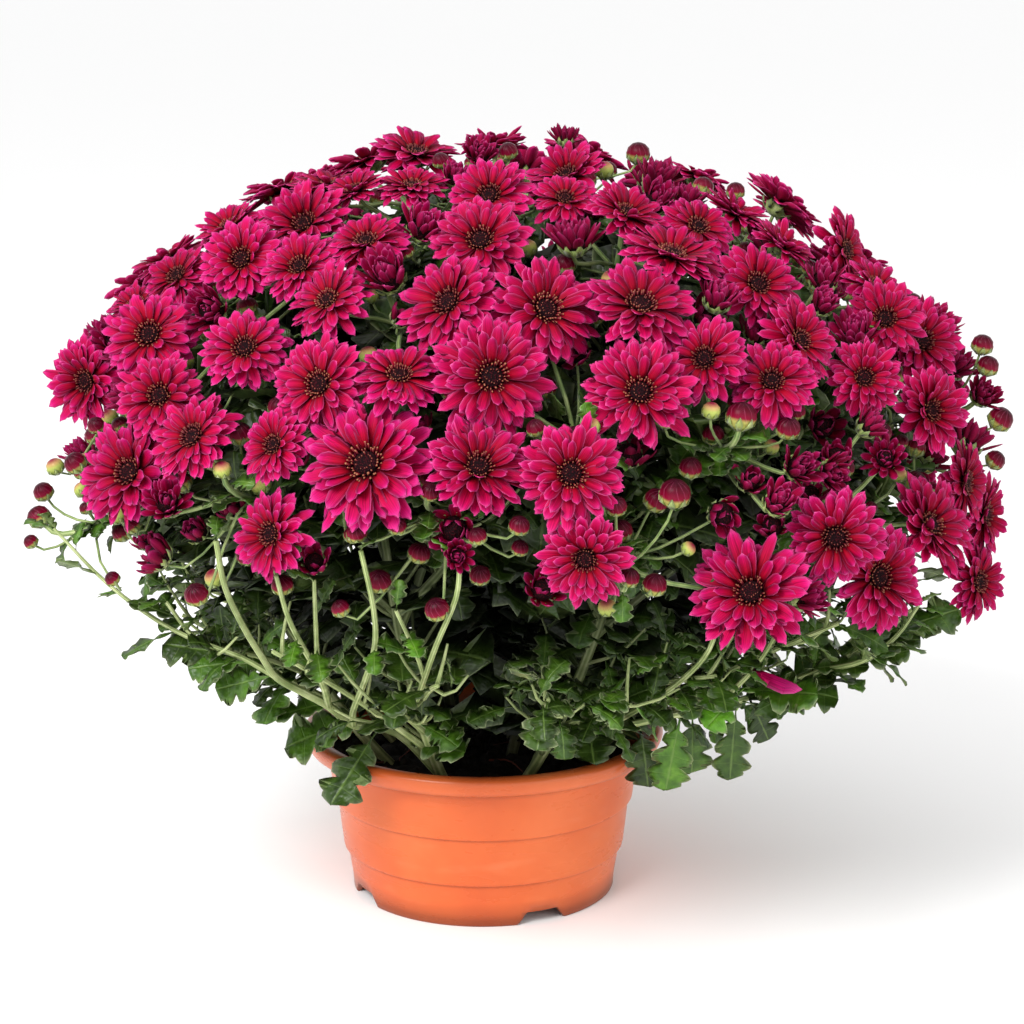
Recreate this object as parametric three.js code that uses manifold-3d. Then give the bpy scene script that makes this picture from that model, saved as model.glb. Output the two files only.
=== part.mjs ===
// Pot chrysanthemum: a round bush of double flowers on a dozen leafy stems, in a moulded plastic pot.
// Millimetres, +Z up, -Y to the front. The pieces are laid out round the pot's axis, and the whole plant is
// then moved so that its origin is the middle of its own footprint, on the floor.
import * as THREE from "three";
import { mergeVertices } from "three/addons/utils/BufferGeometryUtils.js";
import Module from "manifold-3d";

const wasm = await Module();
wasm.setup();

// ---- driving dimensions ----
const pot = {
  rimRadius: 100, height: 92, wall: 2.2, sides: 24,
  bandHeights: [0, 25, 52.6, 79.5], bandRadii: [73, 76.8, 81.4, 86.8], bandStep: 1.5,
  floor: 8.5, ring: 3, drainRadius: 6, drainReach: 52, drainSides: 8, cutDepth: 14,
  notches: 4, notchTurn: 26.5, notchHeight: 7, notchFoot: 29, notchTop: 18,
};
const soil = { top: 77, rise: 4 };
const clearance = 0.3; // between pieces that grow apart
const dome = { right: 18, back: 5, up: 234, wide: 246, deep: 240, tall: 178 }; // where the head centres lie
const eye = new THREE.Vector3(16, -1400, 530); // where the front view of the bush is seen from
const stems = {
  outer: 8, inner: 4, outerRadius: 44, innerRadius: 17, outerPolar: 70, innerPolar: 26,
  sunk: 14, reach: 0.66, girth: 3.2, sides: 4, steps: 4, holeGirth: 4.6, holeSides: 6,
  bendAt: 0.45, outerBend: { out: 16, up: -12 }, innerBend: { out: 4, up: 6 },
};
const sprays = { count: 46, lowestPolar: 96, forkDepth: 46, knuckle: 2.6, sideShares: [0.1, 0.48] };
const branch = {
  girth: 2, sides: 3, steps: 2, seat: 0.4, bow: 0.35, leafyFrom: 62,
  lowest: 0.4, highest: 0.95, spread: 42, within: [0.2, 0.98],
  shifts: [0, -0.08, 0.08, -0.16, 0.16, -0.24, 0.24],
};
const stalk = { girth: 1.3, axisGirth: 1.8, footGirth: 0.8, sides: 3, sunk: 0.2 };
const shoot = {
  perStem: 3, girth: 1.7, sides: 3, steps: 1, lowest: 0.24, apart: 0.1,
  low: 100, near: 172, far: 208, middleShorter: 22, slope: 0.78, turn: 0.24, stray: 0.08,
};
const leaf = {
  thick: 1.8, middle: 0.52, arch: 0.16, fold: 0.14, length: [40, 60],
  lowSwing: 0.75, swingLoss: 0.5, rise: 0.5, tilt: 0.2,
};
const leafShares = { outerStem: [0.36, 0.5, 0.75], innerStem: [0.6], shoot: [0.5, 0.98], branch: [0.5] };
const leafTries = [[1, 0.25], [0.4, 0.1], [-1, 0.1], [1.6, 0], [-1.6, -0.1], [0.2, -0.3]]; // [turn, droop]
const backHeads = {
  count: 120, lowestPolar: 97, grazing: 0.22, spacing: 33, widths: [33, 46],
  halfOpenShare: 0.2, halfOpenWidth: 0.6,
};
const facingOut = { towardsEye: 0.45, scatter: 0.35 };
const seeds = { heads: 7, firstStem: 23 };
const crowding = { passes: 12, share: 0.96, pull: 0.93, rounds: 8 };
const petalRing = { tips: 6, halfTips: 5 };

// ---- heads seen from the front: [mm right of the pot's axis, mm above the floor, width in mm] ----
const openHeads = [
  [4, 385, 39], [-4, 362, 43], [-18, 328, 45], [-92, 370, 42], [-126, 341, 38], [-101, 344, 36],
  [-82, 335, 36], [-59, 360, 36], [-164, 313, 43], [-128, 303, 38], [-212, 288, 41], [-87, 276, 42],
  [-46, 287, 38], [-66, 244, 56], [-168, 274, 38], [-160, 260, 40], [-187, 235, 48], [-111, 253, 32],
  [-116, 200, 38], [7, 279, 48], [4, 248, 44], [-135, 369, 34], [-164, 342, 34], [45, 396, 37],
  [75, 377, 36], [105, 348, 45], [114, 367, 34], [141, 372, 34], [149, 335, 39], [42, 321, 48],
  [85, 324, 47], [119, 300, 36], [87, 280, 45], [152, 287, 37], [166, 305, 37], [212, 335, 34],
  [218, 320, 36], [234, 309, 41], [207, 283, 34], [243, 269, 39], [46, 228, 44], [54, 201, 38],
  [197, 200, 43], [212, 182, 46], [245, 205, 47], [274, 202, 40], [148, 167, 50], [273, 183, 36],
  [165, 355, 32], [-49, 388, 32], [-71, 381, 30], [52, 382, 30], [-189, 321, 31],
];
const halfOpenHeads = [
  [-57, 342, 28], [-183, 307, 28], [-176, 222, 22], [-147, 327, 26], [-1, 408, 20], [-34, 367, 25],
  [-16, 395, 18], [49, 363, 26], [94, 396, 24], [108, 384, 20], [120, 337, 22], [184, 327, 20],
  [201, 309, 26], [178, 235, 21], [162, 219, 22], [187, 228, 20], [272, 277, 20], [268, 255, 26],
  [217, 248, 19], [211, 264, 19], [257, 296, 25], [244, 318, 25], [179, 164, 22], [-14, 188, 16],
  [91, 382, 24], [-194, 279, 22], [-195, 310, 22], [44, 417, 16], [173, 349, 22],
];
const closedBuds = [
  [83, 408, 13], [30, 258, 9], [105, 223, 15], [268, 304, 12], [273, 293, 12], [278, 264, 14],
  [279, 242, 11], [232, 327, 12], [142, 268, 15], [164, 264, 12], [124, 269, 9], [80, 176, 10],
  [-243, 210, 13], [-240, 224, 11], [-233, 238, 10], [-222, 240, 12], [-210, 261, 9], [-158, 166, 12],
  [-204, 175, 8], [-149, 245, 9], [-69, 202, 10], [-47, 205, 9], [-27, 225, 9], [-3, 199, 9],
  [20, 205, 10], [56, 254, 9], [73, 216, 10], [14, 409, 10], [65, 399, 10], [135, 388, 10],
  [-22, 404, 9], [-248, 196, 8],
];

const degrees = Math.PI / 180;
const goldenTurn = Math.PI * (3 - Math.sqrt(5));
const upward = new THREE.Vector3(0, 0, 1);

// The same draws on every run, from 0 up to 1.
function seededRandom(seed) {
  let state = seed;
  return () => {
    state = (state + 0x6d2b79f5) | 0;
    let mixed = Math.imul(state ^ (state >>> 15), state | 1);
    mixed ^= mixed + Math.imul(mixed ^ (mixed >>> 7), mixed | 61);
    return ((mixed ^ (mixed >>> 14)) >>> 0) / 4294967296;
  };
}

const between = (low, high, share) => low + (high - low) * share;

// ---- the dome that the heads lie on ----
function domePoint(azimuth, polar) {
  return new THREE.Vector3(
    dome.right + dome.wide * Math.sin(polar) * Math.sin(azimuth),
    dome.back - dome.deep * Math.sin(polar) * Math.cos(azimuth),
    dome.up + dome.tall * Math.cos(polar),
  );
}

function domeNormal(point) {
  return new THREE.Vector3(
    (point.x - dome.right) / dome.wide ** 2,
    (point.y - dome.back) / dome.deep ** 2,
    (point.z - dome.up) / dome.tall ** 2,
  ).normalize();
}

// Follows the line of sight through a place on the upright plane of the axis to where it meets the
// dome, or to where it passes closest to it.
function seenOnDome(right, up) {
  const size = new THREE.Vector3(dome.wide, dome.deep, dome.tall);
  const sight = new THREE.Vector3(right, 0, up).sub(eye);
  const from = eye.clone().sub(new THREE.Vector3(dome.right, dome.back, dome.up)).divide(size);
  const along = sight.clone().divide(size);
  const square = along.dot(along);
  const half = from.dot(along);
  const inside = Math.max(half * half - square * (from.dot(from) - 1), 0);
  return eye.clone().addScaledVector(sight, (-half - Math.sqrt(inside)) / square);
}

// A head faces out of the dome, those in front a little towards who looks at them.
function headAt(point, width, kind, towardsEye, random) {
  const facing = domeNormal(point);
  facing.addScaledVector(eye.clone().sub(point).normalize(), towardsEye);
  const scatter = new THREE.Vector3(random() - 0.5, random() - 0.5, random() - 0.2);
  facing.addScaledVector(scatter, facingOut.scatter);
  return { point, width, kind, facing: facing.normalize(), turn: random() * Math.PI };
}

function layHeads() {
  const random = seededRandom(seeds.heads);
  const heads = [];
  for (const [list, kind] of [[openHeads, "open"], [halfOpenHeads, "half"], [closedBuds, "bud"]]) {
    for (const [right, up, width] of list) {
      heads.push(headAt(seenOnDome(right, up), width, kind, facingOut.towardsEye, random));
    }
  }
  for (let i = 0; i < backHeads.count; i += 1) {
    const height = 1 - ((i + 0.5) / backHeads.count) * (1 - Math.cos(backHeads.lowestPolar * degrees));
    const point = domePoint(i * goldenTurn, Math.acos(height));
    const width = between(...backHeads.widths, random());
    const kind = random() < backHeads.halfOpenShare ? "half" : "open";
    const hidden = domeNormal(point).dot(eye.clone().sub(point).normalize()) < backHeads.grazing;
    const apart = heads.every((head) => head.point.distanceTo(point) > backHeads.spacing);
    if (hidden && apart) {
      const share = kind === "half" ? backHeads.halfOpenWidth : 1;
      heads.push(headAt(point, width * share, kind, 0, random));
    }
  }
  settle(heads);
  return heads;
}

// Heads that stand closer than their petals allow push one another aside.
function settle(heads) {
  for (let pass = 0; pass < crowding.passes; pass += 1) {
    for (let i = 1; i < heads.length; i += 1) {
      for (let j = 0; j < i; j += 1) {
        const gap = heads[i].point.clone().sub(heads[j].point);
        const wanted = (crowding.share * (heads[i].width + heads[j].width)) / 2;
        const push = Math.max(wanted - gap.length(), 0) / 2;
        gap.normalize();
        heads[i].point.addScaledVector(gap, push);
        heads[j].point.addScaledVector(gap, -push);
      }
    }
  }
}

// ---- solids ----
// Merges a shape's shared corners, drops the empty triangles at its poles, and closes it as a solid.
function solidOf(geometry) {
  const bare = geometry.index ? geometry : geometry.clone();
  bare.deleteAttribute("normal");
  bare.deleteAttribute("uv");
  const merged = mergeVertices(bare, 1e-4);
  const corners = merged.index.array;
  const kept = [];
  for (let i = 0; i < corners.length; i += 3) {
    const [a, b, c] = corners.slice(i, i + 3);
    if (a !== b && b !== c && c !== a) kept.push(a, b, c);
  }
  const solid = new wasm.Manifold(new wasm.Mesh({
    numProp: 3,
    vertProperties: new Float32Array(merged.attributes.position.array),
    triVerts: new Uint32Array(kept),
  }));
  if (solid.status() !== "NoError") throw new Error(`open or crossed shape: ${solid.status()}`);
  return solid;
}

function geometryOf(solid) {
  const mesh = solid.getMesh();
  const geometry = new THREE.BufferGeometry();
  const places = new Float32Array(mesh.numVert * 3);
  for (let i = 0; i < mesh.numVert; i += 1) {
    for (let k = 0; k < 3; k += 1) places[i * 3 + k] = mesh.vertProperties[i * mesh.numProp + k];
  }
  geometry.setAttribute("position", new THREE.BufferAttribute(places, 3));
  geometry.setIndex(new THREE.BufferAttribute(mesh.triVerts.slice(), 1));
  geometry.computeVertexNormals();
  return geometry;
}

const joined = (solids) => solids.reduce((whole, piece) => whole.add(piece));

// Joins closed rings of points with bands of triangles. A ring may have fewer points than the next, and
// a ring of one point closes an end.
function ringsSolid(rings) {
  const places = rings.flat().flatMap((point) => [point.x, point.y, point.z]);
  const triangles = [];
  let start = 0;
  for (let r = 0; r + 1 < rings.length; r += 1) {
    const [low, high] = [rings[r].length, rings[r + 1].length];
    const most = Math.max(low, high);
    const onRing = (i, count, first) => first + (Math.floor((i * count) / most) % count);
    for (let i = 0; i < most; i += 1) {
      const [a, b] = [onRing(i, low, start), onRing(i + 1, low, start)];
      const [c, d] = [onRing(i, high, start + low), onRing(i + 1, high, start + low)];
      if (a !== b) triangles.push(a, b, d);
      if (c !== d) triangles.push(a, d, c);
    }
    start += low;
  }
  const geometry = new THREE.BufferGeometry();
  geometry.setAttribute("position", new THREE.Float32BufferAttribute(places, 3));
  geometry.setIndex(triangles);
  return solidOf(geometry);
}

// A ring round the origin, level or a zigzag of tips and the notches between them.
function levelRing(sides, radius, height, turn = 0) {
  return Array.from({ length: sides }, (_, i) => {
    const angle = (i * 2 * Math.PI) / sides + turn;
    return new THREE.Vector3(radius * Math.cos(angle), radius * Math.sin(angle), height);
  });
}

function toothedRing(tips, [tipRadius, tipHeight], [notchRadius, notchHeight]) {
  const toTip = levelRing(tips * 2, tipRadius, tipHeight);
  const toNotch = levelRing(tips * 2, notchRadius, notchHeight);
  return toTip.map((point, i) => (i % 2 ? toNotch[i] : point));
}

// Each head in units of its own radius, from its underside up. An open head has two layers of petals
// round a sunken disc, a half-open one a single cup of petals.
const headShapes = {
  open: {
    under: -0.34,
    rings: [
      toothedRing(petalRing.tips, [1, 0.06], [0.76, -0.02]),
      levelRing(petalRing.tips, 0.66, 0.27, Math.PI / petalRing.tips / 2),
      levelRing(1, 0, 0.04),
    ],
  },
  half: {
    under: -0.75,
    rings: [toothedRing(petalRing.halfTips, [0.98, 0.55], [0.72, 0.2]), levelRing(1, 0, 0.35)],
  },
  bud: { under: -0.8, rings: [levelRing(6, 1, 0), levelRing(1, 0, 0.9)] },
};

// Where the stalk of a head meets its underside.
function neckOf(head) {
  const radius = (head.width / 2) * (head.reach ?? 1);
  return head.point.clone().addScaledVector(head.facing, headShapes[head.kind].under * radius);
}

// One head and its stalk in one loft. The middle head's stalk rises from the fork of its spray, and the
// others leave that stalk one above another, the widest lowest.
function headSolid(head, spray) {
  const radius = (head.width / 2) * (head.reach ?? 1);
  const turned = (axis) => new THREE.Quaternion().setFromUnitVectors(upward, axis)
    .multiply(new THREE.Quaternion().setFromAxisAngle(upward, head.turn));
  const put = (ring, place, scale, axis = head.facing) => ring.map(
    (point) => point.clone().multiplyScalar(scale).applyQuaternion(turned(axis)).add(place),
  );
  const neck = neckOf(head);
  const place = spray.members.indexOf(head);
  const share = place ? between(...sprays.sideShares, 1 - place / spray.members.length) : 0;
  const start = spray.fork.clone().lerp(neckOf(spray.members[0]), share);
  const foot = start.clone().lerp(neck, -(place ? stalk.sunk : sprays.knuckle) / start.distanceTo(neck));
  const round = (girth) => levelRing(stalk.sides, girth, 0, 45 * degrees);
  const upwards = neck.clone().sub(start).normalize();
  const low = put(round(place ? stalk.footGirth : stalk.axisGirth), start, 1, upwards);
  return ringsSolid([
    [foot], low, put(round(place ? stalk.girth : stalk.axisGirth), neck, 1),
    ...headShapes[head.kind].rings.map((ring) => put(ring, head.point, radius)),
  ]);
}

function tube(curve, girth, sides, steps) {
  const section = new THREE.Shape();
  for (let i = 0; i < sides; i += 1) {
    const angle = (i * 2 * Math.PI) / sides;
    section[i ? "lineTo" : "moveTo"](girth * Math.cos(angle), girth * Math.sin(angle));
  }
  section.closePath();
  return solidOf(new THREE.ExtrudeGeometry(section, { steps, extrudePath: curve, bevelEnabled: false }));
}

// ---- leaves ----
// A lobed blade from its stalk to its tip: [share of the length, half-width], then mirrored. The edge is
// one closed line, and one ridge point above and one below it give the blade its thickness.
const lobes = [[0.36, 0.28], [0.48, 0.16], [0.7, 0.3], [1, 0]];

function leafSolid({ root, along, up, length }) {
  const side = new THREE.Vector3().crossVectors(up, along).normalize();
  const top = new THREE.Vector3().crossVectors(along, side);
  const place = (share, out, lift = 0) => root.clone()
    .addScaledVector(along, share * length)
    .addScaledVector(side, out * length)
    .addScaledVector(top, (Math.abs(out) * leaf.fold - leaf.arch * share * share) * length + lift);
  const rightEdge = lobes.map(([share, out]) => place(share, -out));
  const leftEdge = lobes.slice(0, -1).reverse().map(([share, out]) => place(share, out));
  return ringsSolid([
    [place(leaf.middle, 0, -leaf.thick / 2)],
    [place(0, 0), ...rightEdge, ...leftEdge],
    [place(leaf.middle, 0, leaf.thick / 2)],
  ]);
}

// ---- sprays ----
// Centres spread over the dome by the golden angle, and each head grows on the spray of the centre
// nearest to it. A spray's stalks part at a fork inside the bush.
function laySprays(heads) {
  const centres = Array.from({ length: sprays.count }, (_, i) => {
    const height = 1 - ((i + 0.5) / sprays.count) * (1 - Math.cos(sprays.lowestPolar * degrees));
    return domePoint(i * goldenTurn, Math.acos(height));
  });
  const nearest = (point) => centres.reduce((best, centre) => (
    point.distanceTo(centre) < point.distanceTo(best) ? centre : best
  ));
  return centres
    .map((centre) => heads.filter((head) => nearest(head.point) === centre))
    .filter((members) => members.length)
    .map((members) => {
      const middle = members.reduce((sum, head) => sum.add(head.point), new THREE.Vector3())
        .divideScalar(members.length);
      const facing = domeNormal(middle);
      const outwards = (head) => head.point.distanceTo(middle);
      members.sort((one, other) => outwards(one) - outwards(other));
      return { members, facing, fork: middle.clone().addScaledVector(facing, -sprays.forkDepth) };
    });
}

// ---- stems ----
function mainStems() {
  return Array.from({ length: stems.outer + stems.inner }, (_, k) => {
    const isOuter = k < stems.outer;
    const azimuth = ((k + 0.5) * 2 * Math.PI) / (isOuter ? stems.outer : stems.inner);
    const polar = (isOuter ? stems.outerPolar : stems.innerPolar) * degrees;
    const heading = new THREE.Vector3(Math.sin(azimuth), -Math.cos(azimuth), 0);
    const base = heading.clone().multiplyScalar(isOuter ? stems.outerRadius : stems.innerRadius);
    base.z = soil.top - stems.sunk;
    const aim = domePoint(azimuth, polar);
    const end = new THREE.Vector3(0, 0, soil.top).lerp(aim, stems.reach);
    const { out, up } = isOuter ? stems.outerBend : stems.innerBend;
    const bend = base.clone().lerp(end, stems.bendAt).addScaledVector(heading, out);
    bend.z += up;
    return { isOuter, azimuth, heading, aim, curve: new THREE.QuadraticBezierCurve3(base, bend, end) };
  });
}

const nearestStem = (point, trunks) => trunks.reduce((best, trunk) => (
  point.distanceTo(trunk.aim) < point.distanceTo(best.aim) ? trunk : best
));

// A branch leaves its main stem low where its spray stands far from the stem's line, and comes up under
// the foot of the spray's own stalk, in line with it.
function branchCurve(spray, trunk, shift) {
  const crown = new THREE.Vector3(0, 0, soil.top);
  const spread = spray.fork.clone().sub(crown).angleTo(trunk.aim.clone().sub(crown)) / degrees;
  const share = between(branch.highest, branch.lowest, Math.min(spread / branch.spread, 1)) + shift;
  const upwards = neckOf(spray.members[0]).sub(spray.fork).normalize();
  const tip = spray.fork.clone().addScaledVector(upwards, -sprays.knuckle - branch.seat);
  const start = trunk.curve.getPointAt(THREE.MathUtils.clamp(share, ...branch.within));
  const bend = tip.clone().addScaledVector(upwards, -branch.bow * tip.distanceTo(start));
  return new THREE.QuadraticBezierCurve3(start, bend, tip);
}

// Leafy side shoots fill the bush below its heads, along a cone that widens from the pot's rim.
function shootCurves(trunk, random) {
  return Array.from({ length: trunk.isOuter ? shoot.perStem : 0 }, (_, i) => {
    const azimuth = trunk.azimuth + (i - 1) * shoot.turn + (random() - 0.5) * shoot.stray;
    const radius = between(shoot.near, shoot.far, random()) - shoot.middleShorter * (i % 2);
    const start = trunk.curve.getPointAt(shoot.lowest + shoot.apart * i);
    const end = new THREE.Vector3(Math.sin(azimuth), -Math.cos(azimuth), 0).multiplyScalar(radius);
    end.x += (dome.right * radius) / dome.wide;
    end.z = shoot.low + (radius - pot.rimRadius) * shoot.slope;
    return new THREE.LineCurve3(start, end);
  });
}

// A leaf leaves its stem on one side or the other, reaching out along it and drooping at its tip.
function leafOn(curve, share, swing, droop, length) {
  const tangent = curve.getTangentAt(share);
  const along = tangent.clone().setZ(tangent.z * leaf.rise).normalize().applyAxisAngle(upward, swing);
  along.z -= droop;
  along.normalize();
  const up = upward.clone().addScaledVector(tangent, -leaf.tilt).normalize();
  return { root: curve.getPointAt(share), along, up, length };
}

// ---- keeping nodes apart ----
function boxed(solid) {
  const { min, max } = solid.boundingBox();
  const box = new THREE.Box3(new THREE.Vector3(...min), new THREE.Vector3(...max));
  return { solid, box: box.expandByScalar(clearance) };
}

const crosses = (one, other) => one.box.intersectsBox(other.box)
  && one.solid.minGap(other.solid, clearance * 1.5) < clearance;

// Heads pull their petals in until no two sprays touch. Those of one spray may.
function clearHeads(groups) {
  const all = groups.flatMap((spray) => spray.members.map((head) => ({ head, spray })));
  for (const item of all) item.solid = boxed(headSolid(item.head, item.spray));
  for (let round = 0; round < crowding.rounds; round += 1) {
    const pulled = new Set();
    all.forEach((one, i) => all.slice(0, i).forEach((other) => {
      if (one.spray !== other.spray && crosses(one.solid, other.solid)) pulled.add(one).add(other);
    }));
    for (const item of pulled) {
      item.head.reach = (item.head.reach ?? 1) * crowding.pull;
      item.solid = boxed(headSolid(item.head, item.spray));
    }
    if (!pulled.size) return groups.map((spray) => (
      joined(all.filter((item) => item.spray === spray).map((item) => item.solid.solid))
    ));
  }
  throw new Error("two sprays cross");
}

// ---- one leafy stem: main stem, branches, shoots and leaves in one solid ----
const trunkPiece = (trunk) => boxed(tube(trunk.curve, stems.girth, stems.sides, stems.steps));

// The first of the choices that stays clear of its neighbours, or null.
function firstClear(choices, make, neighbours) {
  for (const choice of choices) {
    const piece = boxed(make(choice));
    if (!neighbours.some((other) => crosses(piece, other))) return { piece, choice };
  }
  return null;
}

function growStem(trunk, carried, around, random) {
  const own = [trunkPiece(trunk)];
  const stemShares = trunk.isOuter ? leafShares.outerStem : leafShares.innerStem;
  const leafy = [{ curve: trunk.curve, bearer: own[0], shares: stemShares }];
  for (const spray of carried) {
    const routeBy = (shift) => branchCurve(spray, trunk, shift);
    const asTube = (shift) => tube(routeBy(shift), branch.girth, branch.sides, branch.steps);
    const found = firstClear(branch.shifts, asTube, around);
    if (!found) throw new Error("a branch crosses its neighbours");
    own.push(found.piece);
    const curve = routeBy(found.choice);
    if (curve.getLength() > branch.leafyFrom) {
      leafy.push({ curve, bearer: found.piece, shares: leafShares.branch });
    }
  }
  for (const curve of shootCurves(trunk, random)) {
    const piece = boxed(tube(curve, shoot.girth, shoot.sides, shoot.steps));
    if (!around.some((other) => crosses(piece, other))) {
      own.push(piece);
      leafy.push({ curve, bearer: piece, shares: leafShares.shoot });
    }
  }
  for (const { curve, bearer, shares } of leafy) {
    shares.forEach((share, i) => {
      const swing = (i % 2 ? 1 : -1) * (leaf.lowSwing - leaf.swingLoss * share);
      const length = between(...leaf.length, random());
      const asBlade = ([turn, droop]) => leafSolid(leafOn(curve, share, swing * turn, droop, length));
      const neighbours = [...around, ...own.filter((other) => other !== bearer)];
      const found = firstClear(leafTries, asBlade, neighbours);
      if (found) own.push(found.piece);
    });
  }
  return own;
}

// ---- the pot ----
function latheSolid(profile) {
  const points = profile.map(([radius, height]) => new THREE.Vector2(radius, height));
  return solidOf(new THREE.LatheGeometry(points, pot.sides).rotateX(Math.PI / 2));
}

// Three bands, each a step wider than the one below, under a flared and rolled lip.
function potSolid() {
  const { bandHeights: heights, bandRadii: radii, bandStep: step, wall, rimRadius: rim, height } = pot;
  const slope = step * 0.5;
  const outside = [1, 2].flatMap((i) => [[radii[i], heights[i]], [radii[i] + step, heights[i] + slope]]);
  const inside = [[radii[2] - wall, heights[2]], [radii[1] - wall, heights[1]]];
  const body = latheSolid([
    [0, pot.floor], [radii[0] - pot.ring, pot.floor], [radii[0] - pot.ring, 0], [radii[0], 0],
    ...outside, [radii[3], heights[3]],
    [rim - 4, heights[3] + 2], [rim, height - 6], [rim - 1.5, height - 1], [rim - 5, height],
    [rim - 11, height - 2.5], [radii[3] - wall, heights[3] - 2],
    ...inside, [radii[0] - wall + 1, pot.floor + wall + 1], [0, pot.floor + wall],
  ]);
  const cuts = Array.from({ length: pot.notches }, (_, i) => {
    const azimuth = pot.notchTurn * degrees + (i * 2 * Math.PI) / pot.notches;
    const trapezoid = new THREE.Shape([
      new THREE.Vector2(-pot.notchFoot / 2, -1), new THREE.Vector2(pot.notchFoot / 2, -1),
      new THREE.Vector2(pot.notchTop / 2, pot.notchHeight),
      new THREE.Vector2(-pot.notchTop / 2, pot.notchHeight),
    ]);
    const notch = new THREE.ExtrudeGeometry(trapezoid, { depth: pot.cutDepth, bevelEnabled: false })
      .rotateX(Math.PI / 2).translate(0, pot.cutDepth * 0.7 - radii[0], 0).rotateZ(azimuth);
    const drain = new THREE.CylinderGeometry(pot.drainRadius, pot.drainRadius, pot.cutDepth, pot.drainSides)
      .rotateX(Math.PI / 2).translate(0, -pot.drainReach, pot.floor).rotateZ(azimuth);
    return solidOf(notch).add(solidOf(drain));
  });
  return cuts.reduce((whole, cut) => whole.subtract(cut), body);
}

// The soil fills the pot to below its lip, a little heaped and uneven, with a hole for each main stem.
function soilSolid(trunks) {
  const { bandHeights: heights, bandRadii: radii, wall } = pot;
  const gap = 2 * clearance;
  const base = pot.floor + wall + gap;
  const filling = latheSolid([
    [0, base], [radii[0] - wall - 2, base + 2],
    [radii[1] - wall - gap, heights[1]], [radii[2] - wall - gap, heights[2]],
    [radii[3] - wall - 1.4, soil.top - 2],
    [radii[3] * 0.6, soil.top + soil.rise * 0.5], [0, soil.top + soil.rise],
  ]);
  return trunks.reduce((whole, { curve }) => {
    const leaving = curve.getPointAt(1 / stems.steps);
    const bottom = curve.v0.clone().lerp(leaving, -0.05);
    const hole = new THREE.LineCurve3(bottom, leaving);
    return whole.subtract(tube(hole, stems.holeGirth, stems.holeSides, 1));
  }, filling);
}

// ---- the whole plant in its pot ----
const finishes = {
  pot: new THREE.MeshStandardMaterial({ color: 0xe8693a, roughness: 0.45 }),
  soil: new THREE.MeshStandardMaterial({ color: 0x1c1512, roughness: 1 }),
  stem: new THREE.MeshStandardMaterial({ color: 0x3c6b2c, roughness: 0.7 }),
  spray: new THREE.MeshStandardMaterial({ color: 0xc01058, roughness: 0.6 }),
};

function namedMesh(name, solid, material) {
  const mesh = new THREE.Mesh(geometryOf(solid), material);
  mesh.name = name;
  return mesh;
}

const numbered = (name, i) => `${name}_${String(i + 1).padStart(2, "0")}`;

function potChrysanthemum() {
  const plant = new THREE.Group();
  const trunks = mainStems();
  const groups = laySprays(layHeads());
  const sprayPieces = clearHeads(groups).map((solid) => boxed(solid));
  const potPiece = boxed(potSolid());
  const soilPiece = boxed(soilSolid(trunks));
  plant.add(namedMesh("pot", potPiece.solid, finishes.pot));
  plant.add(namedMesh("soil", soilPiece.solid, finishes.soil));
  sprayPieces.forEach((piece, i) => {
    plant.add(namedMesh(numbered("spray", i), piece.solid, finishes.spray));
  });
  const grown = [potPiece, soilPiece, ...sprayPieces];
  const trunkPieces = trunks.map(trunkPiece);
  trunks.forEach((trunk, k) => {
    const carried = groups.filter((spray) => nearestStem(spray.fork, trunks) === trunk);
    const around = [...grown, ...trunkPieces.slice(k + 1)];
    const own = growStem(trunk, carried, around, seededRandom(seeds.firstStem + k));
    grown.push(...own);
    const solid = joined(own.map((piece) => piece.solid));
    plant.add(namedMesh(numbered("leafy_stem", k), solid, finishes.stem));
  });
  const middle = new THREE.Box3().setFromObject(plant).getCenter(new THREE.Vector3());
  plant.position.set(-Math.round(middle.x), -Math.round(middle.y), 0);
  return plant;
}

export default potChrysanthemum();
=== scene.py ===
# Pot chrysanthemum: a round bush of double crimson flowers on leafy stems, in a moulded plastic pot.
# The plant is laid out in millimetres round the pot's axis, and moved to the frame when a mesh is made.
# Polar angles and spreads are in degrees, and other angles in radians unless a note says degrees.
from functools import partial
from math import cos, pi, radians, sin, sqrt

import bpy
import numpy as np
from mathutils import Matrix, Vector


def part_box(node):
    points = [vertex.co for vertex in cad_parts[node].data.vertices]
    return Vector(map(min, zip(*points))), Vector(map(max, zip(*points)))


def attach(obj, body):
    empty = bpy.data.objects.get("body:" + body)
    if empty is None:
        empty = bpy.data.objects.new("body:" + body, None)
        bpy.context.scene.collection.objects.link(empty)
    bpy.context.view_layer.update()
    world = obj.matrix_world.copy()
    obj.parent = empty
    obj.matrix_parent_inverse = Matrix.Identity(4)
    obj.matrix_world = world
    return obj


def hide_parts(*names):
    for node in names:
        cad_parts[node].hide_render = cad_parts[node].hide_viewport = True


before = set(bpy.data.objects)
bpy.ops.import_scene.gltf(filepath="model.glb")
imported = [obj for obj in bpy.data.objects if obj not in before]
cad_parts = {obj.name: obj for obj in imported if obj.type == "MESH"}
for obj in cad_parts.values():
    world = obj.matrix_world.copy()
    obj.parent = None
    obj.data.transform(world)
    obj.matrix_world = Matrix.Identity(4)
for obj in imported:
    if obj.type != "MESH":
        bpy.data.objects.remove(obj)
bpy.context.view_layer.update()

mm = 0.001
potLow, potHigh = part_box("pot")
potAxis = np.array([(potLow.x + potHigh.x) / 2, (potLow.y + potHigh.y) / 2, 0.0])
goldenTurn = pi * (3 - sqrt(5))
upward = np.array([0.0, 0.0, 1.0])
print("frame loaded, pot axis at", potAxis.round(4))


# The root of the sum of squares, for each vector.
def length(vectors):
    return np.sqrt((vectors * vectors).sum(-1, keepdims=True))


# Each vector over its own length.
def unit(vectors):
    return vectors / np.maximum(length(vectors), 1e-9)


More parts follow.
